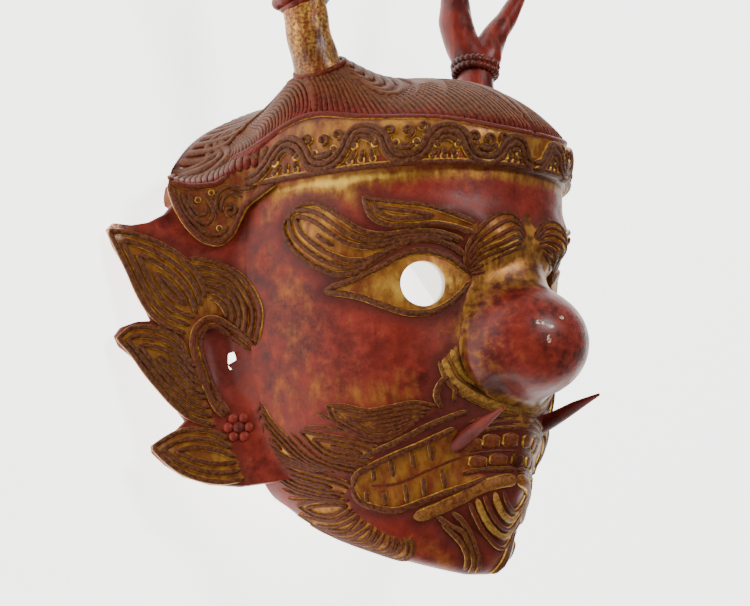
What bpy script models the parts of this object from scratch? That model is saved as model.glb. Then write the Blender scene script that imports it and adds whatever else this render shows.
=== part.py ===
"""Cham dance mask of a horned protector: a papier-mache shell with two antlers.

The mask lies on its back. +X is the viewer's right, +Y the crown and +Z out of the face.
All sizes below are in millimetres, and main() turns them into metres.
"""
import math

import bmesh
import bpy
import numpy as np
from mathutils import Matrix

# Main sizes
WALL = 5.0
SEAT_GAP = 0.3
ORIGIN_Y = 55.0
EYE_HOLE = 10.6
EAR_THICK = 6.5
CORD = 2.1

# The shell's level curves from throat to crown rim: share of the height, half width,
# rear depth and height, front depth and height, squareness of the curve
LEVELS = np.array((
    (0.00, 60, 50, -96, 84, -122, 2.10),
    (0.06, 64, 46, -92, 118, -131, 2.05),
    (0.14, 72, 46, -84, 128, -110, 2.00),
    (0.26, 81, 46, -66, 141, -78, 2.05),
    (0.38, 86, 46, -42, 147, -46, 2.10),
    (0.50, 88, 45, -14, 149, -8, 2.20),
    (0.58, 89, 36, 8, 151, 17, 2.25),
    (0.67, 90, 18, 34, 157, 40, 2.35),
    (0.75, 89, 3, 54, 160, 60, 2.40),
    (0.83, 86, 0, 64, 159, 84, 2.40),
    (0.91, 84, 0, 70, 118, 110, 1.90),
    (1.00, 82, 0, 76, 0, 116, 1.40),
))

# Crown band on the shell, in the shell's own height share
BAND_FOOT = 0.752
BAND_TOP_FRONT = 0.805
BAND_RISE = 0.037  # how much higher its top edge runs over the temples
BAND_LIFT = 3.0

# Antlers: axis foot on each side, lean out and lean back per unit of height
SEAT_X = 61.4
SEAT_Z = 80.5
SEAT_U = 0.53
LEAN_OUT = 0.236
LEAN_BACK = 0.152
STUB = {-1: 29.0, 1: 12.0}
SEAT_Y = {-1: 128.0, 1: 124.0}
BEAM_R = {-1: 12.0, 1: 10.5}
ANTLER_TOP = {-1: 118.0, 1: 122.0}

# Nose bulb
NOSE_AT = (0.0, -23.0, 157.0)
NOSE_R = (31.0, 25.0, 27.0)

# Ear plate: foot, and its outline as distances out along the plate and up
EAR_X, EAR_Z = 88.0, 45.8
EAR_OUTLINE = (
    (-4, 56), (28, 54), (39, 42), (51, 40), (61, 41.5), (58, 30), (52, 19), (47, 6), (42, -5),
    (49, -7), (59, -13), (53, -19), (46, -31), (37, -41), (30, -49), (25, -56),
    (33, -62), (42, -68), (38, -73), (28, -81), (15, -86), (0, -87), (-25, -84),
    (-14, -66), (-8, -50), (-4, -35),
)


def smooth(x, xs, ys):
    """A smooth curve through the given values."""
    step = np.diff(xs)
    rise = np.diff(ys) / step
    slope = np.empty_like(ys)
    slope[0], slope[-1] = rise[0], rise[-1]
    slope[1:-1] = (rise[:-1] * step[1:] + rise[1:] * step[:-1]) / (step[:-1] + step[1:])
    i = np.clip(np.searchsorted(xs, x) - 1, 0, len(step) - 1)
    t = (x - xs[i]) / step[i]
    return ((2 * t**3 - 3 * t**2 + 1) * ys[i] + (t**3 - 2 * t**2 + t) * step[i] * slope[i]
            + (3 * t**2 - 2 * t**3) * ys[i + 1] + (t**3 - t**2) * step[i] * slope[i + 1])


def ramp(x, low, high):
    """0 below low and 1 above high, smooth between."""
    t = np.clip((x - low) / (high - low), 0, 1)
    return t * t * (3 - 2 * t)


def hill(u, v, at_u, at_v, wide_u, wide_v):
    """A round swelling on both halves of the face."""
    return np.exp(-((np.abs(u) - at_u) / wide_u) ** 2 - ((v - at_v) / wide_v) ** 2)


def shell(u, v):
    """The plain form at u, -1 to 1 around from ear to ear, and v, 0 to 1 from throat to crown."""
    half, rear_z, rear_y, front_z, front_y, square = [
        smooth(v, LEVELS[:, 0], LEVELS[:, k]) for k in range(1, 7)]
    rear_z = np.maximum(rear_z, 0)
    angle = u * math.pi / 2
    side = np.sign(angle) * np.abs(np.sin(angle)) ** (2 / square)
    out = np.maximum(np.cos(angle), 0) ** (2 / square)
    x = half * side
    y = rear_y + (front_y - rear_y) * out
    z = rear_z + (front_z - rear_z) * out
    # the cap rises in a cone to each antler
    for way in (-1, 1):
        far = np.hypot(x - way * SEAT_X, z - SEAT_Z)
        y = y + (SEAT_Y[way] - 105.0) * np.exp(-(far / 24) ** 2) * ramp(v, 0.80, 0.88)
    return np.stack([x, y, z], -1)


def normal(u, v):
    """Unit outward direction of the plain form."""
    du = shell(np.minimum(u + 0.01, 0.995), v) - shell(np.maximum(u - 0.01, -0.995), v)
    dv = shell(u, np.minimum(v + 0.01, 1)) - shell(u, np.maximum(v - 0.01, 0))
    n = np.cross(du, dv)
    return n / np.linalg.norm(n, axis=-1, keepdims=True)


def band_top(u):
    """Where the crown band ends below the hair."""
    return BAND_TOP_FRONT + BAND_RISE * ramp(np.abs(u), 0.05, 0.6)


def relief(u, v):
    """How far the brows, eyes, chin and sunk mouth stand off the plain form."""
    lift = 5.0 * hill(u, v, 0.11, 0.62, 0.16, 0.05)
    lift = lift + 3.5 * hill(u, v, 0.62, 0.625, 0.13, 0.06)
    lift = lift + 2.5 * hill(u, v, 0.38, 0.66, 0.16, 0.03)
    lift = lift + 2.5 * hill(u, v, 0.37, 0.54, 0.12, 0.05)
    lift = lift + 3.0 * hill(u, v, 0.0, 0.12, 0.16, 0.07)
    mouth = 0.27 - 0.23 * np.abs(u) ** 2
    sunk = (1 - ramp(np.abs(v - mouth) / 0.045, 0.75, 1.0)) * (1 - ramp(np.abs(u), 0.58, 0.64))
    return (lift - 2.5 * sunk) * (1 - ramp(np.abs(u), 0.97, 1.0)) * ramp(v, 0.0, 0.03)


def skin(u, v):
    """A point on the carved face."""
    u, v = np.asarray(u, float), np.asarray(v, float)
    return shell(u, v) + normal(u, v) * relief(u, v)[..., None]


def cap_grid(columns=43, hair_rows=6):
    """The crown band and, above it, the hair in flutes that draw together under each antler."""
    u = np.linspace(-1, 1, columns)
    top = band_top(u)
    flute = 1.1 * (-1.0) ** np.arange(columns)
    rows = []
    for share in (0, 0.5, 1):
        rows.append((u, BAND_FOOT + share * (top - BAND_FOOT), np.full(columns, BAND_LIFT)))
    for share in np.linspace(0, 1, hair_rows):
        v = top + 0.008 + share * (0.992 - top)
        pull = 0.5 * np.exp(-((v - 0.91) / 0.05) ** 2 - ((np.abs(u) - SEAT_U) / 0.3) ** 2)
        rows.append((u + pull * (np.sign(u) * SEAT_U - u), v, 1.2 + flute * (1 - share) ** 0.5))
    u, v, lift = [np.array(row) for row in zip(*rows)]
    step = normal(u, v) * lift[..., None]
    step[-1, :, 2] = 0
    step[:, (0, -1), 1:] = 0
    points = shell(u, v) + step
    points[..., 2] = np.maximum(points[..., 2], 0)
    return points


def face_grid(columns=25, rows=24):
    """The face from the throat to just above the band's foot."""
    u, v = np.meshgrid(np.linspace(-1, 1, columns), np.linspace(0, 0.775, rows))
    return skin(u, v)


def cavity_grid():
    """The inner wall, carried on past the rim on every side."""
    u, v = np.meshgrid(np.linspace(-0.96, 0.96, 13), np.linspace(0.05, 0.985, 12))
    grid = shell(u, v) - normal(u, v) * WALL
    grid = np.concatenate([grid[:1] + (0, -34, -34), grid, grid[-1:] + (0, 0, -30)])
    return np.concatenate([grid[:, :1] + (0, 0, -60), grid, grid[:, -1:] + (0, 0, -60)], axis=1)


def new_object(name, points, faces):
    """A closed mesh in millimetres whose faces look outward."""
    mesh = bpy.data.meshes.new(name)
    mesh.from_pydata([tuple(p) for p in points], [], [tuple(int(i) for i in f) for f in faces])
    work = bmesh.new()
    work.from_mesh(mesh)
    bmesh.ops.remove_doubles(work, verts=work.verts, dist=0.01)
    bmesh.ops.recalc_face_normals(work, faces=work.faces)
    work.to_mesh(mesh)
    work.free()
    thing = bpy.data.objects.new(name, mesh)
    bpy.context.scene.collection.objects.link(thing)
    return thing


def block(name, grid):
    """A solid between a grid of rows of points and the straight chord behind each row."""
    rows, columns = grid.shape[:2]
    points = grid.reshape(-1, 3)

    def at(j, i):
        return j * columns + i
    faces = []
    for j in range(rows - 1):
        for i in range(columns - 1):
            faces.append((at(j, i), at(j, i + 1), at(j + 1, i + 1), at(j + 1, i)))
        faces.append((at(j, columns - 1), at(j, 0), at(j + 1, 0), at(j + 1, columns - 1)))
    faces.append([at(0, i) for i in reversed(range(columns))])
    faces.append([at(rows - 1, i) for i in range(columns)])
    return new_object(name, points, faces)


def tube(name, path, radii, sides=6):
    """A round bar along a path, one radius at each of its points."""
    path = np.asarray(path, float)
    along = np.gradient(path, axis=0)
    along /= np.linalg.norm(along, axis=1)[:, None]
    across = np.cross(along[0], (0.31, 0.52, 0.79))
    points, faces = [], []
    for k, centre in enumerate(path):
        across = across - along[k] * (across @ along[k])
        across = across / np.linalg.norm(across)
        third = np.cross(along[k], across)
        for s in range(sides):
            turn = 2 * math.pi * s / sides
            points.append(centre + radii[k] * (math.cos(turn) * across + math.sin(turn) * third))
    for k in range(len(path) - 1):
        for s in range(sides):
            t = (s + 1) % sides
            faces.append((k * sides + s, k * sides + t, (k + 1) * sides + t, (k + 1) * sides + s))
    faces.append([s for s in range(sides)])
    faces.append([(len(path) - 1) * sides + s for s in range(sides)])
    return new_object(name, points, faces)


def ridge(name, path, outward, width, height):
    """A raised cord with a three-cornered section that tapers at both ends."""
    path, outward = np.asarray(path, float), np.asarray(outward, float)
    along = np.gradient(path, axis=0)
    across = np.cross(along, outward)
    across /= np.linalg.norm(across, axis=1)[:, None]
    size = np.ones((len(path), 1))
    size[0] = size[-1] = 0.5
    foot = path - 1.3 * height * outward
    rows = np.stack([foot - across * width * size, path + outward * height * size, foot + across * width * size], 1)
    last = 3 * (len(path) - 1)
    faces = [(0, 1, 2), (last + 2, last + 1, last)]
    for k in range(0, last, 3):
        faces += [(k + s, k + (s + 1) % 3, k + 3 + (s + 1) % 3, k + 3 + s) for s in range(3)]
    return new_object(name, rows.reshape(-1, 3), faces)


def through(marks, count):
    """A smooth run of points through the marks, evenly along their chords."""
    marks = np.asarray(marks, float)
    along = np.concatenate([[0], np.cumsum(np.linalg.norm(np.diff(marks, axis=0), axis=1))])
    at = np.linspace(0, along[-1], count)
    return np.stack([smooth(at, along, marks[:, k]) for k in range(marks.shape[1])], -1)


def cord(name, marks, way, count=9, size=CORD):
    """A raised cord over the face through marks in hundredths of u and v.

    It lies on one half, or on both where way is 0.
    """
    marks = np.array(marks, float)
    if way == 0:
        marks = np.concatenate([marks, marks[-2::-1] * (-1, 1)])
        way = 1
    line = through(marks, count) / 100
    u, v = line[:, 0] * way, line[:, 1]
    return ridge(name, skin(u, v), normal(u, v), size, 0.9 * size)


def ball(name, centre, radii, segments=16, rings=9):
    """An ellipsoid."""
    mesh = bpy.data.meshes.new(name)
    work = bmesh.new()
    bmesh.ops.create_uvsphere(work, u_segments=segments, v_segments=rings, radius=1)
    bmesh.ops.scale(work, verts=work.verts, vec=radii)
    bmesh.ops.translate(work, verts=work.verts, vec=centre)
    work.to_mesh(mesh)
    work.free()
    thing = bpy.data.objects.new(name, mesh)
    bpy.context.scene.collection.objects.link(thing)
    return thing


def teeth(way):
    """Two rows of teeth in the sunk mouth of one half."""
    made = []
    for row, lean in ((0.022, 0.02), (-0.022, -0.02)):
        for k in range(7):
            u = 0.04 + 0.08 * k
            mid = 0.27 - 0.23 * u ** 2
            ends = np.array(((u - 0.2 * lean, mid + 0.15 * row), (u + 0.2 * lean, mid + 1.75 * row)))
            us, vs = ends[:, 0] * way, ends[:, 1]
            made.append(ridge("tooth", skin(us, vs), normal(us, vs), 3.2, 2.4))
    return made


def band_scroll(way):
    """The running wave on one half of the band."""
    share = np.linspace(0.03, 1, 22)
    u = 0.02 + 0.86 * share
    v = (BAND_FOOT + band_top(u)) / 2 + 0.0175 * np.sin(share * 9.4 * math.pi)
    out = normal(u * way, v)
    return ridge("scroll", shell(u * way, v) + BAND_LIFT * out, out, CORD, CORD)


def nested(outer, centre, shares):
    """Copies of an outline drawn in toward its centre."""
    outer, centre = np.asarray(outer, float), np.asarray(centre, float)
    return [centre + (outer - centre) * share for share in shares]


# The cords of one half of the face, in hundredths of u and v
SIDE_CORDS = (
    ((69, 53.4), (58, 52.4), (50, 51.2), (40, 49.8), (31, 49.8), (24, 52), (19, 53.6)),
    ((68, 56), (60, 56.6), (50, 58), (42, 59.2), (34, 59.2), (26, 58), (19, 56)),
    ((73, 70), (79, 67.5), (80, 64), (75, 60), (66, 59.2), (58, 60), (50, 61.6), (40, 62), (26, 61.3)),
    ((68, 70.6), (62, 69), (57, 66.5), (51, 65), (42, 64.8), (35, 65), (25, 64)),
    ((70, 65.8), (72, 63.6), (67, 62.6), (61, 63.6)),
    ((56, 70.5), (48, 70.3), (38, 69.6), (28, 68)),
    ((16, 59), (15, 62), (10, 64), (6, 62.5)),
)
MIDDLE_CORDS = (
    ((21, 57), (21, 62), (16, 66), (10, 67.6), (4, 66.4), (0, 64.5)),
    ((29, 43.5), (25, 41), (17, 38.3), (8, 37), (0, 36.6)),
    ((61, 11.8), (48, 12.3), (37, 14.6), (25, 18.2), (12, 20.8), (0, 21.6)),
    ((62, 22.8), (54, 25.9), (43, 29.8), (30, 32), (15, 33), (0, 33.1)),
    ((19, 17.5), (14, 15), (7, 12.5), (0, 11)),
)
LOCKS = (
    ((92, 35), (84, 29), (76, 25.5), (69, 24)),
    ((93, 29), (86, 23), (78, 20), (70, 19)),
    ((90, 19), (82, 16.8), (75, 15.6), (68, 15.6)),
    ((80, 31.5), (72, 29.4), (65, 28.2), (56, 28.6)),
    ((66, 36), (59, 33.6), (50, 33.2), (37, 34.4)),
    ((33, 35), (35, 37.6), (31, 40.5)),
    ((74, 7.5), (69, 8.5), (65, 8.5)),
)


def ear_point(out, up, way, lift=0.0):
    """A point in front of the ear plate's middle plane."""
    slant = math.sqrt(0.5)
    return np.array((way * (EAR_X + (out + lift) * slant), up, EAR_Z + (lift - out) * slant))


def ear_pieces(way):
    """The ear's plate, its nested leaf cords, helix and rosette."""
    front = [ear_point(a, b, way, EAR_THICK / 2) for a, b in EAR_OUTLINE]
    back = [ear_point(a, b, way, -EAR_THICK / 2) for a, b in EAR_OUTLINE]
    count = len(EAR_OUTLINE)
    faces = [[i for i in range(count)], [count + i for i in reversed(range(count))]]
    faces += [(i, (i + 1) % count, count + (i + 1) % count, count + i) for i in range(count)]
    pieces = [new_object("ear_plate", front + back, faces)]
    leaves = (
        (((20, 33), (38, 32), (53, 35), (47, 20), (38, 4), (26, 5)), (29, 18), (1.0, 0.6)),
        (((22, -4), (36, -6), (50, -14), (42, -26), (32, -37), (20, -45)), (24, -24), (1.0, 0.6)),
        (((6, -61), (22, -61), (36, -67), (27, -77), (15, -81), (2, -80)), (8, -70), (1.0,)),
        (((12, 28), (3, 23), (-3, 12), (-4, 0)), (25, -6), (1.0, 0.84)),
        (((-5, -18), (6, -7), (14, -8), (19, -17), (17, -32), (8, -46), (1, -56)), (6, -25), (1.0,)),
    )
    for outer, centre, shares in leaves:
        for ring in nested(outer, centre, shares):
            path = [ear_point(a, b, way, EAR_THICK / 2) for a, b in through(ring, 7)]
            outward = ear_point(0, 0, way, 1.0) - ear_point(0, 0, way)
            pieces.append(ridge("ear_cord", path, [outward] * 7, CORD, 0.9 * CORD))
    return pieces


def antler_axis(way):
    """The foot of an antler, its direction and the direction in which it forks."""
    foot = np.array((way * SEAT_X, SEAT_Y[way], SEAT_Z))
    up = np.array((way * LEAN_OUT, 1.0, -LEAN_BACK))
    up /= np.linalg.norm(up)
    out = np.array((way * 0.8, 0.0, 0.6))
    out -= up * (out @ up)
    return foot, up, out / np.linalg.norm(out)


def antler(way):
    """One antler: stub, rolled collar, beam and fork with a small prong."""
    foot, up, out = antler_axis(way)
    r, stub = BEAM_R[way], STUB[way]
    fork, top = stub + 17, ANTLER_TOP[way]

    def along(pairs, count):
        line = through(pairs, count)
        return foot + line[:, :1] * up + line[:, 1:] * out
    name = "antler_left" if way > 0 else "antler_right"
    beam_at = ((SEAT_GAP, 0), (stub, 0), (fork, -2), (fork + 25, -8), (top - 22, -7), (top, -2))
    share = np.linspace(0, 1, 11)
    thick = smooth(share, np.array((0, 0.3, 0.5, 0.8, 1.0)), np.array((r, 0.88 * r, 0.85 * r, 5.0, 1.8)))
    beam = tube(name, along(beam_at, 11), thick, 10)
    tine_at = ((fork - 14, 0), (fork, 6), (fork + 18, 20), (fork + 38, 27), (fork + 54, 26))
    tine = tube("tine", along(tine_at, 7), np.linspace(0.72 * r, 1.6, 7), 8)
    prong_at = ((fork + 20, -7), (fork + 34, -16), (fork + 48, -20))
    prong = tube("prong", along(prong_at, 4), np.linspace(5.0, 1.4, 4), 6)
    collar_at = ((stub - 4.5, 0), (stub - 2.5, 0), (stub + 2.5, 0), (stub + 4.5, 0))
    collar = tube("collar", along(collar_at, 4), (r, 1.24 * r, 1.24 * r, r), 12)
    return beam, [tine, prong, collar]


def seat(way):
    """The cone of the cap that carries an antler on its flat top."""
    foot, up, out = antler_axis(way)
    return tube("seat", [foot - 20 * up, foot - 9 * up, foot], [BEAM_R[way] + d for d in (7, 2.6, 1.0)], 12)


def join(body, others, cut=False):
    """Union or cut with the solver that closes every face."""
    for other in others:
        other.hide_render = True
        other.display_type = "WIRE"
    group = bpy.data.collections.new(body.name + ("_cutters" if cut else "_joined"))
    bpy.context.scene.collection.children.link(group)
    for other in others:
        bpy.context.scene.collection.objects.unlink(other)
        group.objects.link(other)
    step = body.modifiers.new(group.name, "BOOLEAN")
    step.operation = "DIFFERENCE" if cut else "UNION"
    step.operand_type = "COLLECTION"
    step.collection = group
    step.solver = "EXACT"


def material(name, colour, roughness):
    """A plain surface with the piece's colour."""
    made = bpy.data.materials.new(name)
    made.use_nodes = True
    shader = made.node_tree.nodes["Principled BSDF"]
    shader.inputs["Base Color"].default_value = (*colour, 1)
    shader.inputs["Roughness"].default_value = roughness
    return made


def main():
    for thing in list(bpy.data.objects):
        bpy.data.objects.remove(thing, do_unlink=True)
    body = block("mask_shell", face_grid())
    join(body, [block("cap", cap_grid())])
    raised = []
    for way in (-1, 1):
        raised += ear_pieces(way)
        raised += [cord("cord", marks, way, len(marks) + 1) for marks in SIDE_CORDS]
        raised += [cord("lock", marks, way, 5, 3.0) for marks in LOCKS]
        raised += teeth(way) + [band_scroll(way), seat(way)]
        fang = through(((way * 30, -66, 128), (way * 33, -62, 146), (way * 34, -56, 160), (way * 33, -51.4, 172.4)), 7)
        raised.append(tube("fang", fang, np.linspace(7.5, 1.4, 7), 8))
    raised += [cord("cord", marks, 0, 2 * len(marks) + 3) for marks in MIDDLE_CORDS]
    join(body, raised)
    nose = ball("nose", NOSE_AT, NOSE_R)
    join(nose, [ball("nostril", (way * 21, -31, 150), (11, 9, 13), 8, 5) for way in (-1, 1)])
    join(body, [nose])
    join(body, [block("cavity", cavity_grid())], cut=True)
    cuts = [ball("nose_hollow", NOSE_AT, [r - WALL for r in NOSE_R], 12, 7)]
    for way in (-1, 1):
        at, aim = skin(0.37 * way, 0.54), normal(np.array(0.37 * way), np.array(0.54))
        cuts.append(tube("eye", [at - 14 * aim, at, at + 14 * aim], [EYE_HOLE] * 3, 16))
    join(body, cuts, cut=True)
    pieces = [body]
    for way in (-1, 1):
        branch, parts = antler(way)
        join(branch, parts)
        pieces.append(branch)
    colours = {"mask_shell": ((0.23, 0.05, 0.03), 0.45), "antler_right": ((0.30, 0.10, 0.04), 0.45),
               "antler_left": ((0.30, 0.08, 0.05), 0.45)}
    for thing in bpy.data.objects:
        thing.data.transform(Matrix.Scale(0.001, 4) @ Matrix.Translation((0, -ORIGIN_Y, 0)))
    for piece in pieces:
        piece.data.materials.append(material(piece.name + "_lacquer", *colours[piece.name]))


if __name__ == "__main__":
    main()
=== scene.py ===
import math

import bpy
import numpy as np
from bpy.props import FloatProperty, FloatVectorProperty, PointerProperty
from mathutils import Matrix, Vector


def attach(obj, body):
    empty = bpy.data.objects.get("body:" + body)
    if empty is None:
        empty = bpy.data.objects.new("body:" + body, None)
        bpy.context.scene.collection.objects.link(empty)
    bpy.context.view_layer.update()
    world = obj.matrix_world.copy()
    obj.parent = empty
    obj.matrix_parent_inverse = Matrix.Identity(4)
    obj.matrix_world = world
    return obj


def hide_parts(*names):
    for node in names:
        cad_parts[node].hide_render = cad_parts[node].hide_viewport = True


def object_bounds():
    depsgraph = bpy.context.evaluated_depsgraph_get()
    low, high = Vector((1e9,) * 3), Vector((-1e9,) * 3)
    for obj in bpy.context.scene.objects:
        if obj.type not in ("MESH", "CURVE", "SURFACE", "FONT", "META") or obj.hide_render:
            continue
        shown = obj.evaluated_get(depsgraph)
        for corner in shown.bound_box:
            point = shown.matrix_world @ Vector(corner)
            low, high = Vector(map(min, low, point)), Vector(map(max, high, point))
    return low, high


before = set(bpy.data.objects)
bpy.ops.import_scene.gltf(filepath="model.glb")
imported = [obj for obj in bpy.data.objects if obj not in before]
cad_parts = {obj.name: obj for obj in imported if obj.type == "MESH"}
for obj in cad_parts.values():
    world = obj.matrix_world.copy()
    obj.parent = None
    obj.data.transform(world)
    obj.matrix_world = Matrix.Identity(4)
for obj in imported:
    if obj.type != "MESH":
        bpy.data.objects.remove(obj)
CAD_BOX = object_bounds()

bl_info = {
    "name": "Horned Dance Mask",
    "version": (1, 0, 0),
    "blender": (4, 5, 0),
    "location": "3D View > Sidebar > Dance Mask",
    "description": "A lacquered and gilded papier-mache mask with putty-cord relief and two antlers",
    "category": "Object",
}

# Form of the mask, in millimetres, as the modelled solids have it.
# u runs from -1 at the mask's right rim to 1 at its left, v from 0 at the throat to 1 at the crown.
ORIGIN_Y = 55.0
LEVELS = np.array((
    # v, half width, rear z, rear y, front z, front y, squareness
    (0.00, 60, 50, -96, 84, -122, 2.10),
    (0.06, 64, 46, -92, 118, -131, 2.05),
    (0.14, 72, 46, -84, 128, -110, 2.00),
    (0.26, 81, 46, -66, 141, -78, 2.05),
    (0.38, 86, 46, -42, 147, -46, 2.10),
    (0.50, 88, 45, -14, 149, -8, 2.20),
    (0.58, 89, 36, 8, 151, 17, 2.25),
    (0.67, 90, 18, 34, 157, 40, 2.35),
    (0.75, 89, 3, 54, 160, 60, 2.40),
    (0.83, 86, 0, 64, 159, 84, 2.40),
    (0.91, 84, 0, 70, 118, 110, 1.90),
    (1.00, 82, 0, 76, 0, 116, 1.40),
))
FACE_TOP = 0.775
BAND_FOOT, BAND_TOP_FRONT, BAND_RISE = 0.752, 0.805, 0.037
BAND_LIFT = 3.0
HAIR_LIFT = 1.9
SEAT_X, SEAT_Z = 61.4, 80.5
SEAT_Y = {-1: 128.0, 1: 124.0}
CONE_FOOT, CONE_WIDE = 105.0, 24
SEAT_UV = (0.53, 0.906)
LEAN_OUT, LEAN_BACK = 0.236, 0.152
STUB = {-1: 29.0, 1: 12.0}
BEAM_R = {-1: 12.0, 1: 10.5}
ANTLER_TOP = {-1: 118.0, 1: 122.0}
EYE_AT = (0.37, 0.54)
EAR_X, EAR_Z, EAR_THICK = 88.0, 45.8, 6.5
NOSE_SEAT = (0.0, -22.0, 138.0)
NOSE_FORMS = (
    # centre and radii of the bulb, the wings, the root and the bridge
    ((0, -23, 156), (29.5, 24.5, 26.6)), ((-21, -31, 149), (12, 12, 12)), ((21, -31, 149), (12, 12, 12)),
    ((0, -6, 146), (21, 22, 14)), ((0, 12, 146), (10, 22, 11)),
)
# Centre and radii of the dents under the nose, of their shade and of the wings, on the mask's left.
DENT = (17.0, -42.0, 153.0), (8.0, 4.6, 7.0)
NOSTRIL = (17.0, -40.0, 150.0), (10, 6, 9)
WING = (21.0, -30.0, 150.0), 16.5
NOSE_CHIPS = (
    # centre and radii of each chip in the lacquer of the nose
    ((-18.5, -17, 177), (3.0, 1.6, 3.0)), ((-14, -19, 180), (3.4, 1.2, 2.4)),
    ((-15.5, -25, 180), (1.6, 2.8, 1.6)), ((-7, -14, 182), (2.2, 1.6, 1.6)),
)
COLLAR = {
    # rolls as height over the stub's top, reach in beam radii and thickness, then twist, its turns and tilt
    -1: (((-7.0, 0.92, 2.2), (-3.2, 1.04, 3.4), (1.0, 0.98, 2.8), (4.4, 0.9, 2.0)), 0.08, 9, 0.8),
    1: (((-1.6, 0.98, 2.3), (2.0, 1.0, 2.5)), 0.16, 26, 0.5),
}
FANG = {-1: ((-27, -74, 122), (-30, -71, 134), (-31, -64, 149), (-33, -57, 165)),
        1: ((29, -64, 126), (32, -57, 145), (33, -51, 161), (33, -47.5, 172.5))}

# Lines of the face relief on one half, as hundredths of (u, v).
LID_LOW = ((69, 54.4), (59, 53), (50, 51), (42, 49.6), (34, 49.8), (26, 51.6), (19, 54.4))
LID_HIGH = ((69, 54.6), (60, 55.4), (50, 57.2), (43, 58.8), (38, 59.3), (30, 58.5), (20, 55.6))
LID_CREASE = ((57, 57.6), (49, 59.4), (43, 61), (37, 61.4), (29, 60.6), (21, 58.2))
SWIRL_HIGH = ((74, 68.6), (71, 69.9), (67.5, 69.8), (64, 68.4), (60, 66), (55, 63.6), (49, 62.6),
              (40, 63), (32, 62.6), (23, 61))
SWIRL_LOW = ((74, 68.6), (76, 67), (76, 63.5), (73, 60.5), (68, 57.9), (63, 56.7), (58, 56.7),
             (53, 58.2), (47, 60.1), (40, 61.6))
BROW_HIGH = ((54, 69.8), (46, 68.4), (34, 67), (26, 65.6), (20, 64.4))
BROW_LOW = ((54, 69.8), (52, 66), (47, 64.3), (41, 64.1), (32, 64.2), (20, 62.6))
ARCH_HIGH = ((21.5, 56.4), (21.6, 59.4), (20, 62.4), (16.6, 64.8), (12, 66.2), (6.5, 66.2),
             (2.6, 64), (0.9, 60.8))
ARCH_LOW = ((20.4, 55.4), (18, 55.6), (14.4, 56), (10.4, 57.2), (7, 58.6), (4.4, 59.4),
            (2.4, 59), (1.0, 57.6))
RIDGE = ((31, 42.6), (28.5, 39.8), (20.6, 37.3), (10, 35.5), (0, 35.1))
RIDGE_HIGH = ((28, 44), (24.4, 40.8), (17, 38.5), (9, 37.1), (0, 36.7))
RIDGE_FIELD = ((31, 42.6), (26, 44.6), (22, 40.8), (14, 38.6), (6, 37.6), (0, 37.4))
MOUTH_HIGH = ((62, 18), (60.5, 20.8), (55, 23), (48, 25.2), (40, 27.3), (33, 29.2), (26, 31))
MOUTH_LOW = ((62, 18), (60, 15.6), (53, 14.6), (46, 14.8), (36, 17.2), (27, 19.4), (19, 21), (12, 22.8))
MOUTH_GROOVE = ((56, 18.6), (46, 19.7), (38, 21.9), (29, 24.2), (21, 26.0))
MOUTH_LINE = ((60, 24.2), (46, 28.2), (36, 31.2), (28, 33), (21, 34.2))
LIP_ROLL = ((38, 14.0), (28, 16.6), (21.5, 18.5), (11, 21.8), (4, 22.9), (0, 23.1))
BEARD = (
    # leaves of the beard: one edge, the other edge, both from the tip to the root
    (((93, 35.5), (90, 31.8), (84, 27.3), (79, 24), (74, 22.2), (66, 21)),
     ((93, 35.5), (96, 31), (96, 26.5), (92, 23.4), (84, 21.6), (74, 20.4))),
    (((92, 21.4), (86, 21.2), (78, 20.2), (68, 19.4), (62, 18.6)),
     ((92, 21.4), (91, 17.8), (86, 15.5), (77, 14.9), (66, 15.4))),
    (((80, 29.5), (74, 28.8), (67, 28.3), (60, 27.6), (53, 26.6)),
     ((80, 29.5), (76, 26.4), (72, 24.4), (64, 23.4), (56, 23.2))),
    (((70, 34.8), (64, 34.6), (57, 33.8), (49, 34.6), (41, 35.4), (33, 34.8)),
     ((70, 34.8), (68, 31.8), (63, 29.6), (56, 28), (50, 28.4), (40, 32))),
    (((87, 9.2), (80, 12), (72, 13.8), (63, 15)), ((87, 9.2), (79, 8), (71, 9.6), (62, 13.2))),
    (((88.5, 4.4), (80, 7), (71, 9.2), (61, 12.8)), ((88.5, 4.4), (78, 3), (68, 5.8), (58, 11.6))),
    (((79, 0.9), (70, 4), (64, 8), (57, 11.4)), ((79, 0.9), (68, 0.6), (60, 4), (53, 10.6))),
    (((64, 0.7), (58, 4.6), (52, 10.4)), ((64, 0.7), (54, 0.8), (48, 5), (46, 10))),
    (((52, 0.8), (47, 5), (45, 9.8)), ((52, 0.8), (42, 1), (38, 6), (39, 10.8))),
)
BEARD_FILL = (
    # gaps between the leaves: the upper bound, the lower bound and how many lines lie between
    (((79, 28.4), (75, 25.8), (71, 23.9), (64, 22.9), (57, 22.7)),
     ((88, 30), (83, 26.4), (77, 23.2), (69, 21.5), (61, 20.8)), 3),
    (((78, 30.2), (73, 30.2), (66, 29.8), (60, 28.7), (54, 27.6)),
     ((74, 33.4), (70, 32.2), (65, 30.6), (59, 29), (52, 28.2)), 2),
    (((92, 16.6), (86, 14.6), (77, 14.1), (65, 14.8)), ((91, 10.4), (84, 11.6), (75, 13.2), (64, 14.9)), 3),
)
LOCK_UP = ((31, 34.4), (33.6, 36.9), (31.6, 39), (29, 39.9), (26.4, 38), (27, 35.6))
GOATEE_MIDDLE = 4
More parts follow.
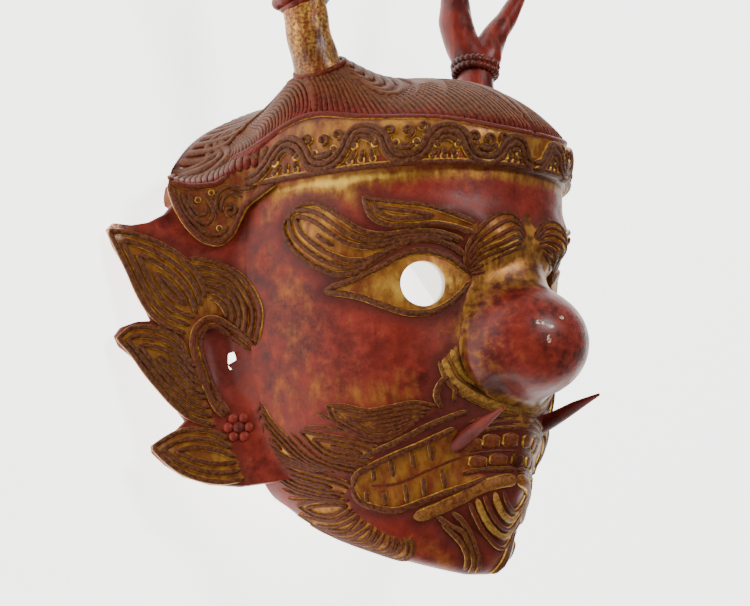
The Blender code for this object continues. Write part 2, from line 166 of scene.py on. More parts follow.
GOATEE = (
    ((-5, 21.2), (-3.2, 19.8), (0.6, 18.3), (4, 17.8)),
    ((-8.4, 20.8), (-6.2, 19.0), (-2, 17.2), (4, 16.2)),
    ((-12, 20.0), (-9, 18.0), (-3.2, 15.6), (4, 14.5)),
    ((-14.4, 19.2), (-11, 17.0), (-5, 14.5), (1, 13.0), (4, 12.8)),
    ((-16.8, 18.3), (-12.8, 16.0), (-7, 13.2), (-1, 11.4), (4, 11.0)),
)
TENDRILS = (
    ((29, 15.2), (22, 13.6), (16.4, 13.0), (13.6, 11.2), (9.6, 8.6), (8, 6.6)),
    ((23, 16.2), (18, 15.0), (13.4, 13.0), (10.6, 10.8), (6.6, 8.6), (4.4, 6.8)),
    ((26, 13.8), (20, 12.2), (16.4, 11.0), (13.4, 9.2), (12, 7.2)),
)
WAVE_AT = (83, 73, 64, 54, 42, 31, 17, 7, 0)
FLAP_EDGE = ((-22, 58.5), (-13, 53), (-6, 48), (-2, 41), (2, 34), (7, 30.5), (14, 32), (21, 38),
             (26, 46), (31, 60))
FLAP_TOP = ((-25, 66), (-16, 66.5), (-8, 66), (-1, 64), (4, 61), (9, 59), (15, 58.3), (20, 58.3),
            (25.5, 59.5), (31, 62))
FLAP_BEHIND = (-2.0, 11.0)
FLAP_LINES = (
    ((30, 61), (23, 58.6), (14, 58.4), (7, 59.6), (2, 63.5)),
    ((28, 56), (24, 46.5), (18, 39.5), (12, 35), (6.4, 34.4), (2.6, 38.5)),
    ((8, 44), (8.4, 50), (6, 55.6), (0, 58), (-6, 56), (-12, 57.4)),
    ((5.6, 45), (5.4, 50), (2, 54), (-2, 54), (-4.6, 52)),
    ((25, 56), (22, 48), (18, 42), (12, 40), (9.6, 44), (11, 50.6), (14, 55)),
    ((21.5, 55), (19.6, 48.6), (16, 44), (12.6, 45), (13.4, 50)),
)

# Lines of the ear, in millimetres out from its root and up the face.
EAR_OUTLINE = (
    # edge out, edge up, root up
    (-4, 56, 56), (14, 55, 53), (28, 53, 49), (34, 46, 45), (42, 42, 40), (52, 40.6, 35), (59, 42, 30),
    (62, 39, 26), (59, 31, 22), (53, 20, 17), (48, 9, 11), (44, 0, 5), (41, -7, 0), (49, -6.6, -4),
    (56, -9, -8), (59, -13, -12), (57, -18, -16), (51, -23, -20), (45, -31, -25), (38, -40, -31),
    (31, -48, -37), (26, -55, -43), (30, -59, -48), (36, -63, -52), (42.5, -66.5, -56), (42, -70, -60),
    (36, -76, -64), (27, -82, -69), (15, -86, -74), (0, -87.5, -79), (-14, -86, -83), (-25, -84, -85),
)
EAR_ROOT = ((-90, -31), (-84, -30), (-66, -22), (-50, -20), (-35, -20), (57, -20))
EAR_LEAVES = (
    # the two edges of each leaf from its tip to its root, and how many lines lie inside each other
    (((60, 38), (56, 29), (51, 18), (46.5, 7), (42, -1), (35, -8), (24, -13)),
     ((60, 38), (52, 37), (42, 34), (32, 29), (23, 22), (17, 14), (14, 4)), 4),
    (((56.5, -14.5), (50, -22), (44, -31), (37, -40), (31, -47), (24, -53), (11, -58)),
     ((56.5, -14.5), (50, -9.6), (42, -9.5), (33, -12), (27, -17), (24, -24), (19, -30)), 4),
    (((41, -67.5), (36, -73), (28, -79.5), (20, -83), (10, -85), (-2, -84)),
     ((41, -67.5), (35, -63.6), (29, -60.6), (20, -59.4), (12, -61), (5, -65)), 4),
)
EAR_HELIX = ((22, 24), (12, 22), (-1, 16), (-9.6, 4), (-12, -4), (-11, -13), (-9, -20))
EAR_HELIX_IN = ((12, 3), (10, 3.4), (7.4, 1.6), (5.4, -1.4), (4.6, -3.4), (4.4, -5), (4.2, -6.4))
EAR_HELIX_FIELD = EAR_HELIX + ((-2, -13), (9, -6), (19, -12), (21, -24), (26, -24), (24, -8))
EAR_BOWL = ((-9, -20), (-2, -13.4), (4, -9), (9, -6.2), (14, -6), (19, -10), (21, -16), (20, -24),
            (18, -32), (14, -42), (10, -50), (6, -54))
EAR_BOWL_IN = ((-6.4, -22), (-0.6, -16.6), (5, -12), (9, -9.4), (12.6, -9.4), (16, -12.4),
               (17.4, -17), (16, -26), (13.4, -34), (10, -43), (7, -49), (3.6, -53))
EAR_HOLE, EAR_HOLE_R = (2.4, -26), (2.1, 5.0)
EAR_BEAD = (0, -59)

# Gold left on the face where it was rubbed: strength, then middle and reach in u and in v.
RUBBED = (
    (0.60, 0.60, 0.71, 0.17, 0.045), (0.20, 0.78, 0.58, 0.10, 0.12), (0.36, 0.37, 0.54, 0.18, 0.05),
    (0.50, 0.23, 0.46, 0.08, 0.08), (0.10, 0.80, 0.42, 0.10, 0.12), (0.30, 0.55, 0.37, 0.25, 0.04),
    (0.25, 0.92, 0.25, 0.10, 0.12), (0.40, 0.06, 0.08, 0.3, 0.07),
)

# Studio: angles in degrees, the frame in pixels, the point looked at in mask millimetres and distances
# in metres, then the strengths of the lights.
CAMERA_TURN, CAMERA_PITCH, CAMERA_ROLL = 50, -8, 2
CAMERA_FAR, SENSOR_MM = 1.3, 36
FRAME_WIDE, FOCAL, SHIFT = 750, 2600, (-40, 20)
LOOK_AT = (0, -5, 85)
LAMPS = (
    # name, way to the lamp as shares of the camera's right, top and back, distance and size
    ("key", (0.9, 0.75, 0.7), 1.5, 0.55),
    ("fill", (-0.9, 0.25, 1.0), 1.8, 1.4),
    ("top", (-0.1, 1.0, 0.1), 1.6, 1.2),
)
TOP_SHARE, SKY_STRENGTH = 0.5, 0.3
FLOOR_REACH, FLOOR_GLOW = 60.0, 3.5

SRGB = {
    "lacquer deep": "#400F0B", "lacquer": "#6C1F15", "lacquer bright": "#862C1E",
    "gold deep": "#6A3F18", "gold": "#A5762C", "gold bright": "#E6BA52",
    "putty": "#3A1A0D", "putty pale": "#663A20", "grime": "#260D08",
    "gesso": "#C9BCAA", "chip": "#B2502A", "paper": "#F1EFEA", "floor": "#F6F6F3",
}


def linear(name):
    """Linear red, green, blue and 1 of a named sRGB hex value."""
    text = SRGB[name].lstrip("#")
    parts = [int(text[k:k + 2], 16) / 255 for k in (0, 2, 4)]
    return tuple(p / 12.92 if p <= 0.04045 else ((p + 0.055) / 1.055) ** 2.4 for p in parts) + (1.0,)


# Shape of the mask as functions of u and v

def smooth(x, xs, ys):
    """Piecewise cubic through (xs, ys) whose slopes are the weighted means of the rises beside each knot."""
    xs, ys = np.asarray(xs, float), np.asarray(ys, float)
    step = np.diff(xs)
    rise = np.diff(ys) / step
    slope = np.empty_like(ys)
    slope[0], slope[-1] = rise[0], rise[-1]
    slope[1:-1] = (rise[:-1] * step[1:] + rise[1:] * step[:-1]) / (step[:-1] + step[1:])
    i = np.clip(np.searchsorted(xs, x) - 1, 0, len(step) - 1)
    t = (x - xs[i]) / step[i]
    return ((2 * t**3 - 3 * t**2 + 1) * ys[i] + (t**3 - 2 * t**2 + t) * step[i] * slope[i]
            + (3 * t**2 - 2 * t**3) * ys[i + 1] + (t**3 - t**2) * step[i] * slope[i + 1])


def ramp(x, low, high):
    """0 below low, 1 above high and a cubic ease between them."""
    t = np.clip((x - low) / (high - low), 0, 1)
    return t * t * (3 - 2 * t)


def hill(u, v, at_u, at_v, wide_u, wide_v):
    """A bell 1 high over (|u|, v) = (at_u, at_v), on both halves of the face."""
    return np.exp(-((np.abs(u) - at_u) / wide_u) ** 2 - ((v - at_v) / wide_v) ** 2)


def shell(u, v):
    """Each level is a superellipse from the rear rim over the front, raised to a cone under each antler."""
    half, rear_z, rear_y, front_z, front_y, square = [smooth(v, LEVELS[:, 0], LEVELS[:, k])
                                                      for k in range(1, 7)]
    rear_z = np.maximum(rear_z, 0)
    angle = u * math.pi / 2
    side = np.sign(angle) * np.abs(np.sin(angle)) ** (2 / square)
    out = np.maximum(np.cos(angle), 0) ** (2 / square)
    x = half * side
    y = rear_y + (front_y - rear_y) * out
    z = rear_z + (front_z - rear_z) * out
    for way in (-1, 1):
        far = np.hypot(x - way * SEAT_X, z - SEAT_Z)
        y = y + (SEAT_Y[way] - CONE_FOOT) * np.exp(-(far / CONE_WIDE) ** 2) * ramp(v, 0.80, 0.88)
    return np.stack([x, y, z], -1)


def unit(vectors):
    """The vectors at length 1."""
    return vectors / np.maximum(np.linalg.norm(vectors, axis=-1, keepdims=True), 1e-9)


def normal(u, v):
    """Outward normal of the shell: the cross product of its central differences."""
    du = shell(np.minimum(u + 0.01, 0.995), v) - shell(np.maximum(u - 0.01, -0.995), v)
    dv = shell(u, np.minimum(v + 0.01, 1)) - shell(u, np.maximum(v - 0.01, 0))
    return unit(np.cross(du, dv))


def band_top(u):
    """The band's upper edge: level at the front, higher over the temples, dipping where the flap hangs."""
    dip = 0.062 * np.exp(-((np.abs(u) - 0.915) / 0.047) ** 4)
    return BAND_TOP_FRONT + BAND_RISE * ramp(np.abs(u), 0.05, 0.6) - dip


def relief(u, v):
    """Swellings of the face: brow knots, temples, lids and a ridge down lips and chin, the mouth sunk."""
    lift = 10.5 * hill(u, v, 0.11, 0.622, 0.10, 0.042) + 4.5 * hill(u, v, 0.64, 0.63, 0.11, 0.055)
    lift = lift + 4.0 * hill(u, v, 0.36, 0.66, 0.16, 0.028) + 3.0 * hill(u, v, 0.37, 0.54, 0.12, 0.05)
    lift = lift + 8.0 * hill(u, v, 0.0, 0.22, 0.15, 0.17) * ramp(v, 0.0, 0.12)
    lift = lift + 2.5 * hill(u, v, 0.42, 0.44, 0.16, 0.06) - 5.0 * hill(u, v, 0.86, 0.93, 0.16, 0.06)
    mouth = 0.27 - 0.23 * u**2
    lift = lift - 2.2 * np.exp(-((v - mouth) / 0.04) ** 4) * (1 - ramp(np.abs(u), 0.5, 0.62))
    return lift * (1 - ramp(np.abs(u), 0.97, 1.0)) * ramp(v, 0.0, 0.03)


def band_lift(u, v):
    """Height of the band and the hair over the face: a rounded step at the band's foot."""
    step = ramp(v, BAND_FOOT - 0.004, BAND_FOOT + 0.004)
    hair = ramp(v, band_top(u) - 0.002, band_top(u) + 0.006)
    return BAND_LIFT * step + (HAIR_LIFT - BAND_LIFT) * hair


def raised(u, v, high):
    """A point high millimetres over the swelling face, square to the shell and never behind the rear rim."""
    points = shell(u, v) + normal(u, v) * np.asarray(relief(u, v) + high)[..., None]
    points[..., 2] = np.maximum(points[..., 2], 0.05)
    return points


def skin(u, v, lift=0.0):
    """A point of the finished surface, lift millimetres above the painted face, band or hair."""
    u, v = np.asarray(u, float), np.asarray(v, float)
    return raised(u, v, band_lift(u, v) + lift)


def seen_at(first, second, axes, origin, u, v):
    """Height of the face where it is seen at (first, second) by a viewer who looks along -axes[2].

    Newton's steps on u and v; past the face's edge the height falls by 1.5 for each millimetre.
    """
    step = 0.004
    for _ in range(9):
        here = (raised(u, v, 0.0) - origin) @ axes.T
        inward = np.where(u > 0, -step, step)
        down = np.where(v > 0.5, -step, step)
        du = ((raised(u + inward, v, 0.0) - origin) @ axes.T - here) / inward[..., None]
        dv = ((raised(u, v + down, 0.0) - origin) @ axes.T - here) / down[..., None]
        miss_a, miss_b = first - here[..., 0], second - here[..., 1]
        det = du[..., 0] * dv[..., 1] - du[..., 1] * dv[..., 0]
        det = np.where(np.abs(det) < 1.0, np.where(det < 0, -1.0, 1.0), det)
        u = np.clip(u + np.clip((miss_a * dv[..., 1] - miss_b * dv[..., 0]) / det, -0.1, 0.1), -1, 1)
        v = np.clip(v + np.clip((miss_b * du[..., 0] - miss_a * du[..., 1]) / det, -0.1, 0.1), 0, 0.9)
    here = (raised(u, v, 0.0) - origin) @ axes.T
    return here[..., 2] - 1.5 * np.hypot(first - here[..., 0], second - here[..., 1])


def soft_most(first, second, blend):
    """The greater of two values, rounded over a blend."""
    return (first + second + np.sqrt((first - second) ** 2 + blend**2)) / 2


def ear_spot(out, up, way, lift=0.0):
    """A point of the ear's plane, which stands out from the temple at 45 degrees."""
    out, up, lift = np.broadcast_arrays(np.asarray(out, float), np.asarray(up, float), lift)
    slant = math.sqrt(0.5)
    return np.stack([way * (EAR_X + (out + lift) * slant), up, EAR_Z + (lift - out) * slant], -1)


def ear_frame(way):
    """The ear's plane: its axes out, up and square to it as rows, and the point where they start."""
    slant = math.sqrt(0.5)
    axes = np.array(((way * slant, 0, -slant), (0, 1, 0), (way * slant, 0, slant)))
    return axes, np.array((way * EAR_X, 0, EAR_Z))


def ear_dish(out, up):
    """Depth of the ear's front: a bowl in the middle, a groove before the cheek and cupped leaves."""
    bowl = 5.2 * np.exp(-((out - 6 - 0.16 * (up + 24)) / 10) ** 4 - ((up + 26) / 17) ** 4)
    cup = 1.2 * np.exp(-((out - 38) / 16) ** 2 - ((up - 8) / 14) ** 2)
    cup = cup + 1.2 * np.exp(-((out - 32) / 14) ** 2 - ((up + 30) / 12) ** 2)
    return bowl + cup


def between_rows(table, x, y):
    """Values of the table at (x, y), linear between its rows and columns."""
    xs, ys, values = table
    a = np.clip((x - xs[0]) / (xs[1] - xs[0]), 0, len(xs) - 1.001)
    b = np.clip((y - ys[0]) / (ys[1] - ys[0]), 0, len(ys) - 1.001)
    i, j = b.astype(int), a.astype(int)
    s, t = b - i, a - j
    return ((1 - s) * ((1 - t) * values[i, j] + t * values[i, j + 1])
            + s * ((1 - t) * values[i + 1, j] + t * values[i + 1, j + 1]))


EAR_FACES = {}


def ear_face(out, up, way):
    """Height of the face over the ear's plane, read from a table that is made once for each side."""
    if way not in EAR_FACES:
        ups, outs = np.meshgrid(np.arange(-97, 72, 1.0), np.arange(-46, 77, 1.0), indexing="ij")
        v = np.interp(ups, LEVELS[:, 3] * 0.6 + LEVELS[:, 5] * 0.4, LEVELS[:, 0])
        high = seen_at(outs, ups, *ear_frame(way), np.full(outs.shape, way * 0.9), v)
        EAR_FACES[way] = outs[0], ups[:, 0], high
    return between_rows(EAR_FACES[way], out, up)


def ear_front(out, up, way, dish=1.0):
    """Height of the ear's front over its plane: the dished plate runs on into the side of the face."""
    out, up = np.broadcast_arrays(np.asarray(out, float), np.asarray(up, float))
    face = ear_face(out, up, way)
    plate = EAR_THICK / 2 - ear_dish(out, up) * dish
    return soft_most(plate, face, 3.0) - 1.4 * ramp(face - plate, 0.8, 6.0), ramp(face - plate, 1.0, 7.0)


def ear_skin(out, up, way, lift=0.0):
    """A point on the painted front of the ear, or on the cheek where the cords of the ear run onto it."""
    high, on_face = ear_front(out, up, way)
    return ear_spot(out, up, way, high + 1.4 * on_face + lift)


def flap_skin(out, up, way, lift=0.0):
    """A point of the flap at the band's rear end, which lies on the temple and the top of the ear."""
    high, _ = ear_front(out, up, way, 0.0)
    return ear_spot(out, up, way, high + BAND_LIFT + 0.5 + lift)


# Meshes from arrays

def part(points, faces, uv=None, **marks):
    """One surface as arrays: points in mask millimetres, rows of corners, uv and named point values."""
    points = np.asarray(points, float).reshape(-1, 3)
    uv = np.zeros((len(points), 2)) if uv is None else np.asarray(uv, float).reshape(-1, 2)
    faces = [np.asarray(rows, np.int64) for rows in (faces if isinstance(faces, list) else [faces])]
    return {"points": points, "faces": faces, "uv": uv,
            "marks": {name: np.broadcast_to(np.ravel(value), len(points)) for name, value in marks.items()}}


def build(name, parts, material, nodes=(), sharp=None):
    """One object on the body from its parts: their arrays end to end, with uv and point attributes.

    Its points are held inside the solids' box, which the rims and cords would pass by up to 0.6 mm.
    """
    start, rows = 0, []
    for piece in parts:
        rows += [face + start for face in piece["faces"]]
        start += len(piece["points"])
    points = (np.concatenate([piece["points"] for piece in parts]) - (0, ORIGIN_Y, 0)) / 1000
    points = np.clip(points, *np.array(CAD_BOX))
    corners = np.concatenate([np.ravel(face) for face in rows])
    sizes = np.concatenate([np.full(len(face), face.shape[1]) for face in rows])
    mesh = bpy.data.meshes.new(name)
    mesh.vertices.add(len(points))
    mesh.vertices.foreach_set("co", points.astype(np.float32).ravel())
    mesh.loops.add(len(corners))
    mesh.loops.foreach_set("vertex_index", corners.astype(np.int32))
    mesh.polygons.add(len(sizes))
    mesh.polygons.foreach_set("loop_start", (np.cumsum(sizes) - sizes).astype(np.int32))
    mesh.update(calc_edges=True)
    uv = np.concatenate([piece["uv"] for piece in parts])[corners]
    mesh.uv_layers.new(name="UVMap").uv.foreach_set("vector", uv.astype(np.float32).ravel())
    for mark in sorted({mark for piece in parts for mark in piece["marks"]}):
        values = [piece["marks"].get(mark, np.zeros(len(piece["points"]))) for piece in parts]
        layer = mesh.attributes.new(mark, "FLOAT", "POINT")
        layer.data.foreach_set("value", np.concatenate(values).astype(np.float32))
    mesh.shade_smooth()
    if sharp:
        mesh.set_sharp_from_angle(angle=math.radians(sharp))
    mesh.materials.append(material)
    obj = bpy.data.objects.new(name, mesh)
    bpy.context.scene.collection.objects.link(obj)
    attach(obj, "root")
    if nodes:
        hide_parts(*nodes)
    return obj


def grid_faces(rows, columns, round_rows=False, round_columns=False):
    """Quads of a grid stored row by row; a round direction joins its last line to its first."""
    i = np.arange(rows if round_rows else rows - 1)[:, None]
    j = np.arange(columns if round_columns else columns - 1)[None, :]
    down, right = (i + 1) % rows, (j + 1) % columns
    return np.stack([i * columns + j, i * columns + right, down * columns + right, down * columns + j],
                    -1).reshape(-1, 4)


def all_corners(inside):
    """For each quad of a grid, whether all four of its points are inside."""
    return inside[:-1, :-1] & inside[1:, :-1] & inside[:-1, 1:] & inside[1:, 1:]


def rim_strip(faces, count):
    """Quads that join every open edge of the faces to the same edge of a layer count points on."""
    start, end = faces.ravel(), np.roll(faces, -1, axis=1).ravel()
    rim = ~np.isin(start * count + end, end * count + start)
    start, end = start[rim], end[rim]
    return np.stack([end, start, start + count, end + count], -1)


def walled(outer, inner, shape, keep=None, **marks):
    """A closed wall: the outer grid, the inner one turned round and a strip along every open edge."""
    faces = grid_faces(*shape)
    if keep is not None:
        faces = faces[keep.ravel()]
    count = shape[0] * shape[1]
    strip = rim_strip(faces, count)
    points = np.concatenate([outer.reshape(-1, 3), inner.reshape(-1, 3)])
    used, place = np.unique(np.concatenate([faces.ravel(), faces.ravel() + count]), return_inverse=True)
    faces, back = place[:faces.size].reshape(-1, 4), place[faces.size:].reshape(-1, 4)[:, ::-1]
    strip = np.searchsorted(used, strip)
    doubled = {name: np.concatenate([np.ravel(value), np.zeros(count)])[used]
               for name, value in marks.items()}
    inside = np.concatenate([np.zeros(count), np.ones(count)])[used]
    return part(points[used], [faces, back, strip], inside=inside, **doubled)


def sweep(path, outward, width, height, around=7, taper=5.0, closed=False, **marks):
    """Round-topped cords: a half ellipse with its foot sunk, carried along each row of the path.

    The path is an array of (cords, points, 3). At an open end the section shrinks as a quarter circle.
    Its uv runs in millimetres along the cord and from 0 to 1 across its top.
    """
    cords, count = path.shape[:2]
    along = np.roll(path, -1, 1) - np.roll(path, 1, 1) if closed else np.gradient(path, axis=1)
    across = unit(np.cross(along, outward))
    step = np.linalg.norm(np.diff(path, axis=1), axis=-1)
    run = np.concatenate([np.zeros((cords, 1)), np.cumsum(step, axis=1)], axis=1)
    ends = np.minimum(run, run[:, -1:] - run) / taper
    size = np.ones((cords, count)) if closed else np.sqrt(1 - (1 - np.clip(ends, 0.03, 1)) ** 2)
    turn = np.linspace(0, math.pi, around)
    side = np.append(np.cos(turn), 0)
    rise = np.append(np.sin(turn) ** 0.85, -0.9)
    wide = (np.broadcast_to(width, (cords, count)) / 2 * size)[..., None, None]
    high = (np.broadcast_to(height, (cords, count)) * size)[..., None, None]
    points = (path[:, :, None] + across[:, :, None] * side[:, None] * wide
              + outward[:, :, None] * (rise[:, None] * high - 0.35))
    ring = around + 1
    one = grid_faces(count, ring, round_rows=closed, round_columns=True)
    faces = [(one + np.arange(cords)[:, None, None] * count * ring).reshape(-1, 4)]
    if not closed:
        cap = np.arange(ring) + np.arange(cords)[:, None] * count * ring
        faces += [cap[:, ::-1], cap + (count - 1) * ring]
    uv = np.stack(np.broadcast_arrays(run[:, :, None], np.append(turn / math.pi, 0.5)), -1)
    spread = {name: np.broadcast_to(np.asarray(value, float), (cords, count))[..., None].repeat(ring, -1)
              for name, value in marks.items()}
    return part(points, faces, uv, **spread)


def spaced(marks, lift_to, gap=1.7):
    """A smooth run through the marks with points evenly spaced over the surface lift_to."""
    marks = np.asarray(marks, float)
    chord = np.concatenate([[0], np.cumsum(np.linalg.norm(np.diff(lift_to(*marks.T), axis=0), axis=-1))])
    fine = np.linspace(0, chord[-1], max(24, int(chord[-1] / 0.4)))
    run = np.stack([smooth(fine, chord, marks[:, k]) for k in (0, 1)], -1)
    length = np.concatenate([[0], np.cumsum(np.linalg.norm(np.diff(lift_to(*run.T), axis=0), axis=-1))])
    even = np.linspace(0, length[-1], max(6, int(length[-1] / gap)))
    return np.stack([np.interp(even, length, run[:, k]) for k in (0, 1)], -1)


class Ground:
    """A surface that lines lie on: place(a, b, lift) gives its points, way is -1 or 1 for its half."""

    def __init__(self, place, way):
        self.place = place
        self.way = way

    def at(self, a, b, lift=0.0):
        return self.place(a, b, lift)

    def outward(self, a, b):
        """Outward normals from central differences of the surface."""
        step = 0.5
        da = self.at(a + step, b) - self.at(a - step, b)
        db = self.at(a, b + step) - self.at(a, b - step)
        return unit(np.cross(da, db)) * self.way


def face_ground(way):
    """The face, with a and b as hundredths of u on this half and of v."""
    return Ground(lambda a, b, lift: skin(way * a / 100, b / 100, lift), way)


def ear_ground(way):
    """The front of an ear, with a and b as millimetres out and up."""
    return Ground(lambda a, b, lift: ear_skin(a, b, way, lift), way)


def flap_ground(way):
    """The flap of the band, with a and b as millimetres out and up in the ear's plane."""
    return Ground(lambda a, b, lift: flap_skin(a, b, way, lift), way)


def chin_ground():
    """The chin, with a and b as hundredths of u from the right and of v."""
    return Ground(lambda a, b, lift: skin(a / 100, b / 100, lift), 1)


def line(ground, marks, width, height, taper=5.0, gap=1.7, **values):
    """One cord laid on a surface through its marks, with a ring of points every gap millimetres."""
    run = spaced(marks, ground.at, gap)
    return sweep(ground.at(*run.T)[None], ground.outward(*run.T)[None], width, height, taper=taper,
                 **values)


def beside(ground, marks, offset):
    """The marks moved sideways over the surface by offset millimetres, to the left of their run."""
    run = spaced(marks, ground.at)
    here = ground.at(*run.T)
    step = 0.5
    da = (ground.at(run[:, 0] + step, run[:, 1]) - here) / step
    db = (ground.at(run[:, 0], run[:, 1] + step) - here) / step
    move = unit(np.cross(ground.outward(*run.T), np.gradient(here, axis=0))) * offset
    grid = np.stack([[(da * da).sum(-1), (da * db).sum(-1)], [(da * db).sum(-1), (db * db).sum(-1)]])
    want = np.stack([(move * da).sum(-1), (move * db).sum(-1)], -1)
    moved = run + np.linalg.solve(grid.transpose(2, 0, 1), want[..., None])[..., 0]
    keep = np.linspace(0, len(moved) - 1, max(4, len(moved) // 3)).astype(int)
    return moved[keep]


def nested(ground, left, right, gap, count, width, height, **values):
    """Lines inside each other in a leaf: line k runs k gaps inside both edges and turns at the tip.

    The leaf is cut into ribs from its left to its right edge; a line crosses a rib of half width w at
    the share 1 - k gap / w of it, and starts where w is k gaps.
    """
    share = np.linspace(0, 1, 161) ** 1.5
    edges = []
    for marks in (left, right):
        run = spaced(marks, ground.at, 0.5)
        edges.append(np.stack([np.interp(share, np.linspace(0, 1, len(run)), run[:, k])
                               for k in (0, 1)], -1))
    middle, half = (edges[0] + edges[1]) / 2, (edges[1] - edges[0]) / 2
    wide = np.linalg.norm(ground.at(*edges[1].T) - ground.at(*edges[0].T), axis=-1) / 2
    made = []
    for k in range(count):
        inset = gap * k
        open_ribs = wide > inset
        if open_ribs.sum() < 8:
            break
        first_rib = np.argmax(open_ribs)
        after = np.nonzero(~open_ribs[first_rib:])[0]
        last_rib = first_rib + (after[0] if len(after) else len(wide) - first_rib)
        ribs = slice(first_rib, last_rib)
        keep = (1 - inset / np.maximum(wide[ribs], 1e-6))[:, None]
        low, high = middle[ribs] - half[ribs] * keep, middle[ribs] + half[ribs] * keep
        run = np.concatenate([low[::-1], high[1:]])
        step = np.linalg.norm(np.diff(ground.at(*run.T), axis=0), axis=-1)
        run = run[np.append(True, step > 0.05)]
        length = np.concatenate([[0], np.cumsum(np.linalg.norm(np.diff(ground.at(*run.T), axis=0),
                                                               axis=-1))])
        even = np.linspace(0, length[-1], max(8, int(length[-1] / 1.5)))
        run = np.stack([np.interp(even, length, run[:, axis]) for axis in (0, 1)], -1)
        made.append(sweep(ground.at(*run.T)[None], ground.outward(*run.T)[None], width, height,
                          taper=2.5, **values))
    return made


def between(ground, high, low, count, width, height, **values):
    """Lines that part a field evenly: line k lies the share k / (count - 1) of the way from high to low."""
    high, low = np.array(high, float), np.array(low, float)
    return [line(ground, high + (low - high) * k / (count - 1), width, height, **values)
            for k in range(count)]


def knob(ground, at, radius, **values):
    """A round bead on the surface: a dome of rings about the surface's outward direction."""
    rings, sides = 6, 12
    here, out = ground.at(*np.asarray(at, float)[:, None]), ground.outward(*np.asarray(at, float)[:, None])
    east = unit(np.cross(out, (0.13, 0.95, 0.28)))
    north = np.cross(out, east)
    t, turn = np.meshgrid(np.linspace(0.08, 0.62, rings) * math.pi, np.arange(sides) * math.pi / (sides / 2),
                          indexing="ij")
    flat = east * np.cos(turn)[..., None] + north * np.sin(turn)[..., None]
    points = here + flat * (np.sin(t) * radius)[..., None] + out * (np.cos(t) * radius * 0.75)[..., None]
    uv = np.stack([np.zeros(t.shape), 0.5 + 0.5 * np.sin(t)], -1)
    ring = np.arange(sides)[None]
    faces = grid_faces(*t.shape, round_columns=True)
    return part(points, [faces, ring[:, ::-1], ring + (rings - 1) * sides], uv, **values)


def curl(ground, at, radius, turns, start, spin, width, height, **values):
    """A spiral line: its radius shrinks evenly to a fifth while it turns."""
    count = int(14 * turns)
    t = np.linspace(0, 1, count)
    angle = start + spin * 2 * math.pi * turns * t
    reach = radius * (1 - 0.8 * t)
    here = np.asarray(at, float)
    step = 0.5
    scale_a = np.linalg.norm(ground.at(here[0] + step, here[1]) - ground.at(*here)) / step
    scale_b = np.linalg.norm(ground.at(here[0], here[1] + step) - ground.at(*here)) / step
    run = here + np.stack([reach * np.cos(angle) / scale_a, reach * np.sin(angle) / scale_b], -1)
    return line(ground, run, width, height, taper=1.6, gap=0.7, **values)


# Materials

def node(tree, kind, links=(), **values):
    """Adds a node; values set its fields or inputs, and links joins outputs to its inputs by name."""
    made = tree.nodes.new(kind)
    for name, value in values.items():
        if hasattr(made, name):
            setattr(made, name, value)
        else:
            made.inputs[name.replace("_", " ")].default_value = value
    for name, socket in dict(links).items():
        tree.links.new(socket, made.inputs[name])
    return made


def blank(name, **values):
    """A material with its shader, ready for links; the values are set on the shader's own sockets."""
    material = bpy.data.materials.new(name)
    material.use_nodes = True
    tree = material.node_tree
    shader = tree.nodes["Principled BSDF"]
    for key, value in values.items():
        shader.inputs[key.replace("_", " ")].default_value = value
    return material, tree, shader


def noise_at(tree, place, scale_mm, detail=4.0, stretch=(1, 1, 1)):
    """Noise whose blotches are scale_mm across, on the piece's own coordinates."""
    spread = node(tree, "ShaderNodeMapping", {"Vector": place}, Scale=stretch)
    return node(tree, "ShaderNodeTexNoise", {"Vector": spread.outputs[0]}, Scale=1000.0 / scale_mm,
                Detail=detail, Roughness=0.62).outputs["Fac"]


def ease(tree, value, low, high, to_low=0.0, to_high=1.0):
    """A value eased from low..high to to_low..to_high."""
    made = node(tree, "ShaderNodeMapRange", {"Value": value}, interpolation_type="SMOOTHSTEP")
    for name, number in (("From Min", low), ("From Max", high), ("To Min", to_low), ("To Max", to_high)):
        made.inputs[name].default_value = number
    return made.outputs["Result"]


def figure(tree, operation, first, second):
    """Arithmetic on two values, each a socket or a number."""
    made = node(tree, "ShaderNodeMath", operation=operation)
    for k, value in enumerate((first, second)):
        if isinstance(value, (int, float)):
            made.inputs[k].default_value = value
        else:
            tree.links.new(value, made.inputs[k])
    return made.outputs[0]


def blend_colours(tree, share, first, second):
    """Colour mixed from first to second by the share; each colour is a socket or linear values."""
    made = node(tree, "ShaderNodeMix", {"Factor": share}, data_type="RGBA")
    for key, value in ((6, first), (7, second)):
        if isinstance(value, tuple):
            made.inputs[key].default_value = value
        else:
            tree.links.new(value, made.inputs[key])
    return made.outputs[2]


def attribute(tree, name):
    """A point value of the mesh."""
    return node(tree, "ShaderNodeAttribute", attribute_name=name).outputs["Fac"]


def own_place(tree):
    """The piece's own coordinates."""
    return node(tree, "ShaderNodeTexCoord").outputs["Object"]


def off_crest(tree):
    """How far a point of a cord lies from the middle of its top: 0 there and 0.5 at its feet."""
    across = node(tree, "ShaderNodeSeparateXYZ", {"Vector": node(tree, "ShaderNodeTexCoord").outputs["UV"]})
    return figure(tree, "ABSOLUTE", figure(tree, "SUBTRACT", across.outputs["Y"], 0.5), 0.0)


def surface_bump(tree, shader, heights, distance):
    """Fine relief from a height value, distance metres deep."""
    made = node(tree, "ShaderNodeBump", {"Height": heights}, Strength=1.0, Distance=distance)
    tree.links.new(made.outputs[0], shader.inputs["Normal"])


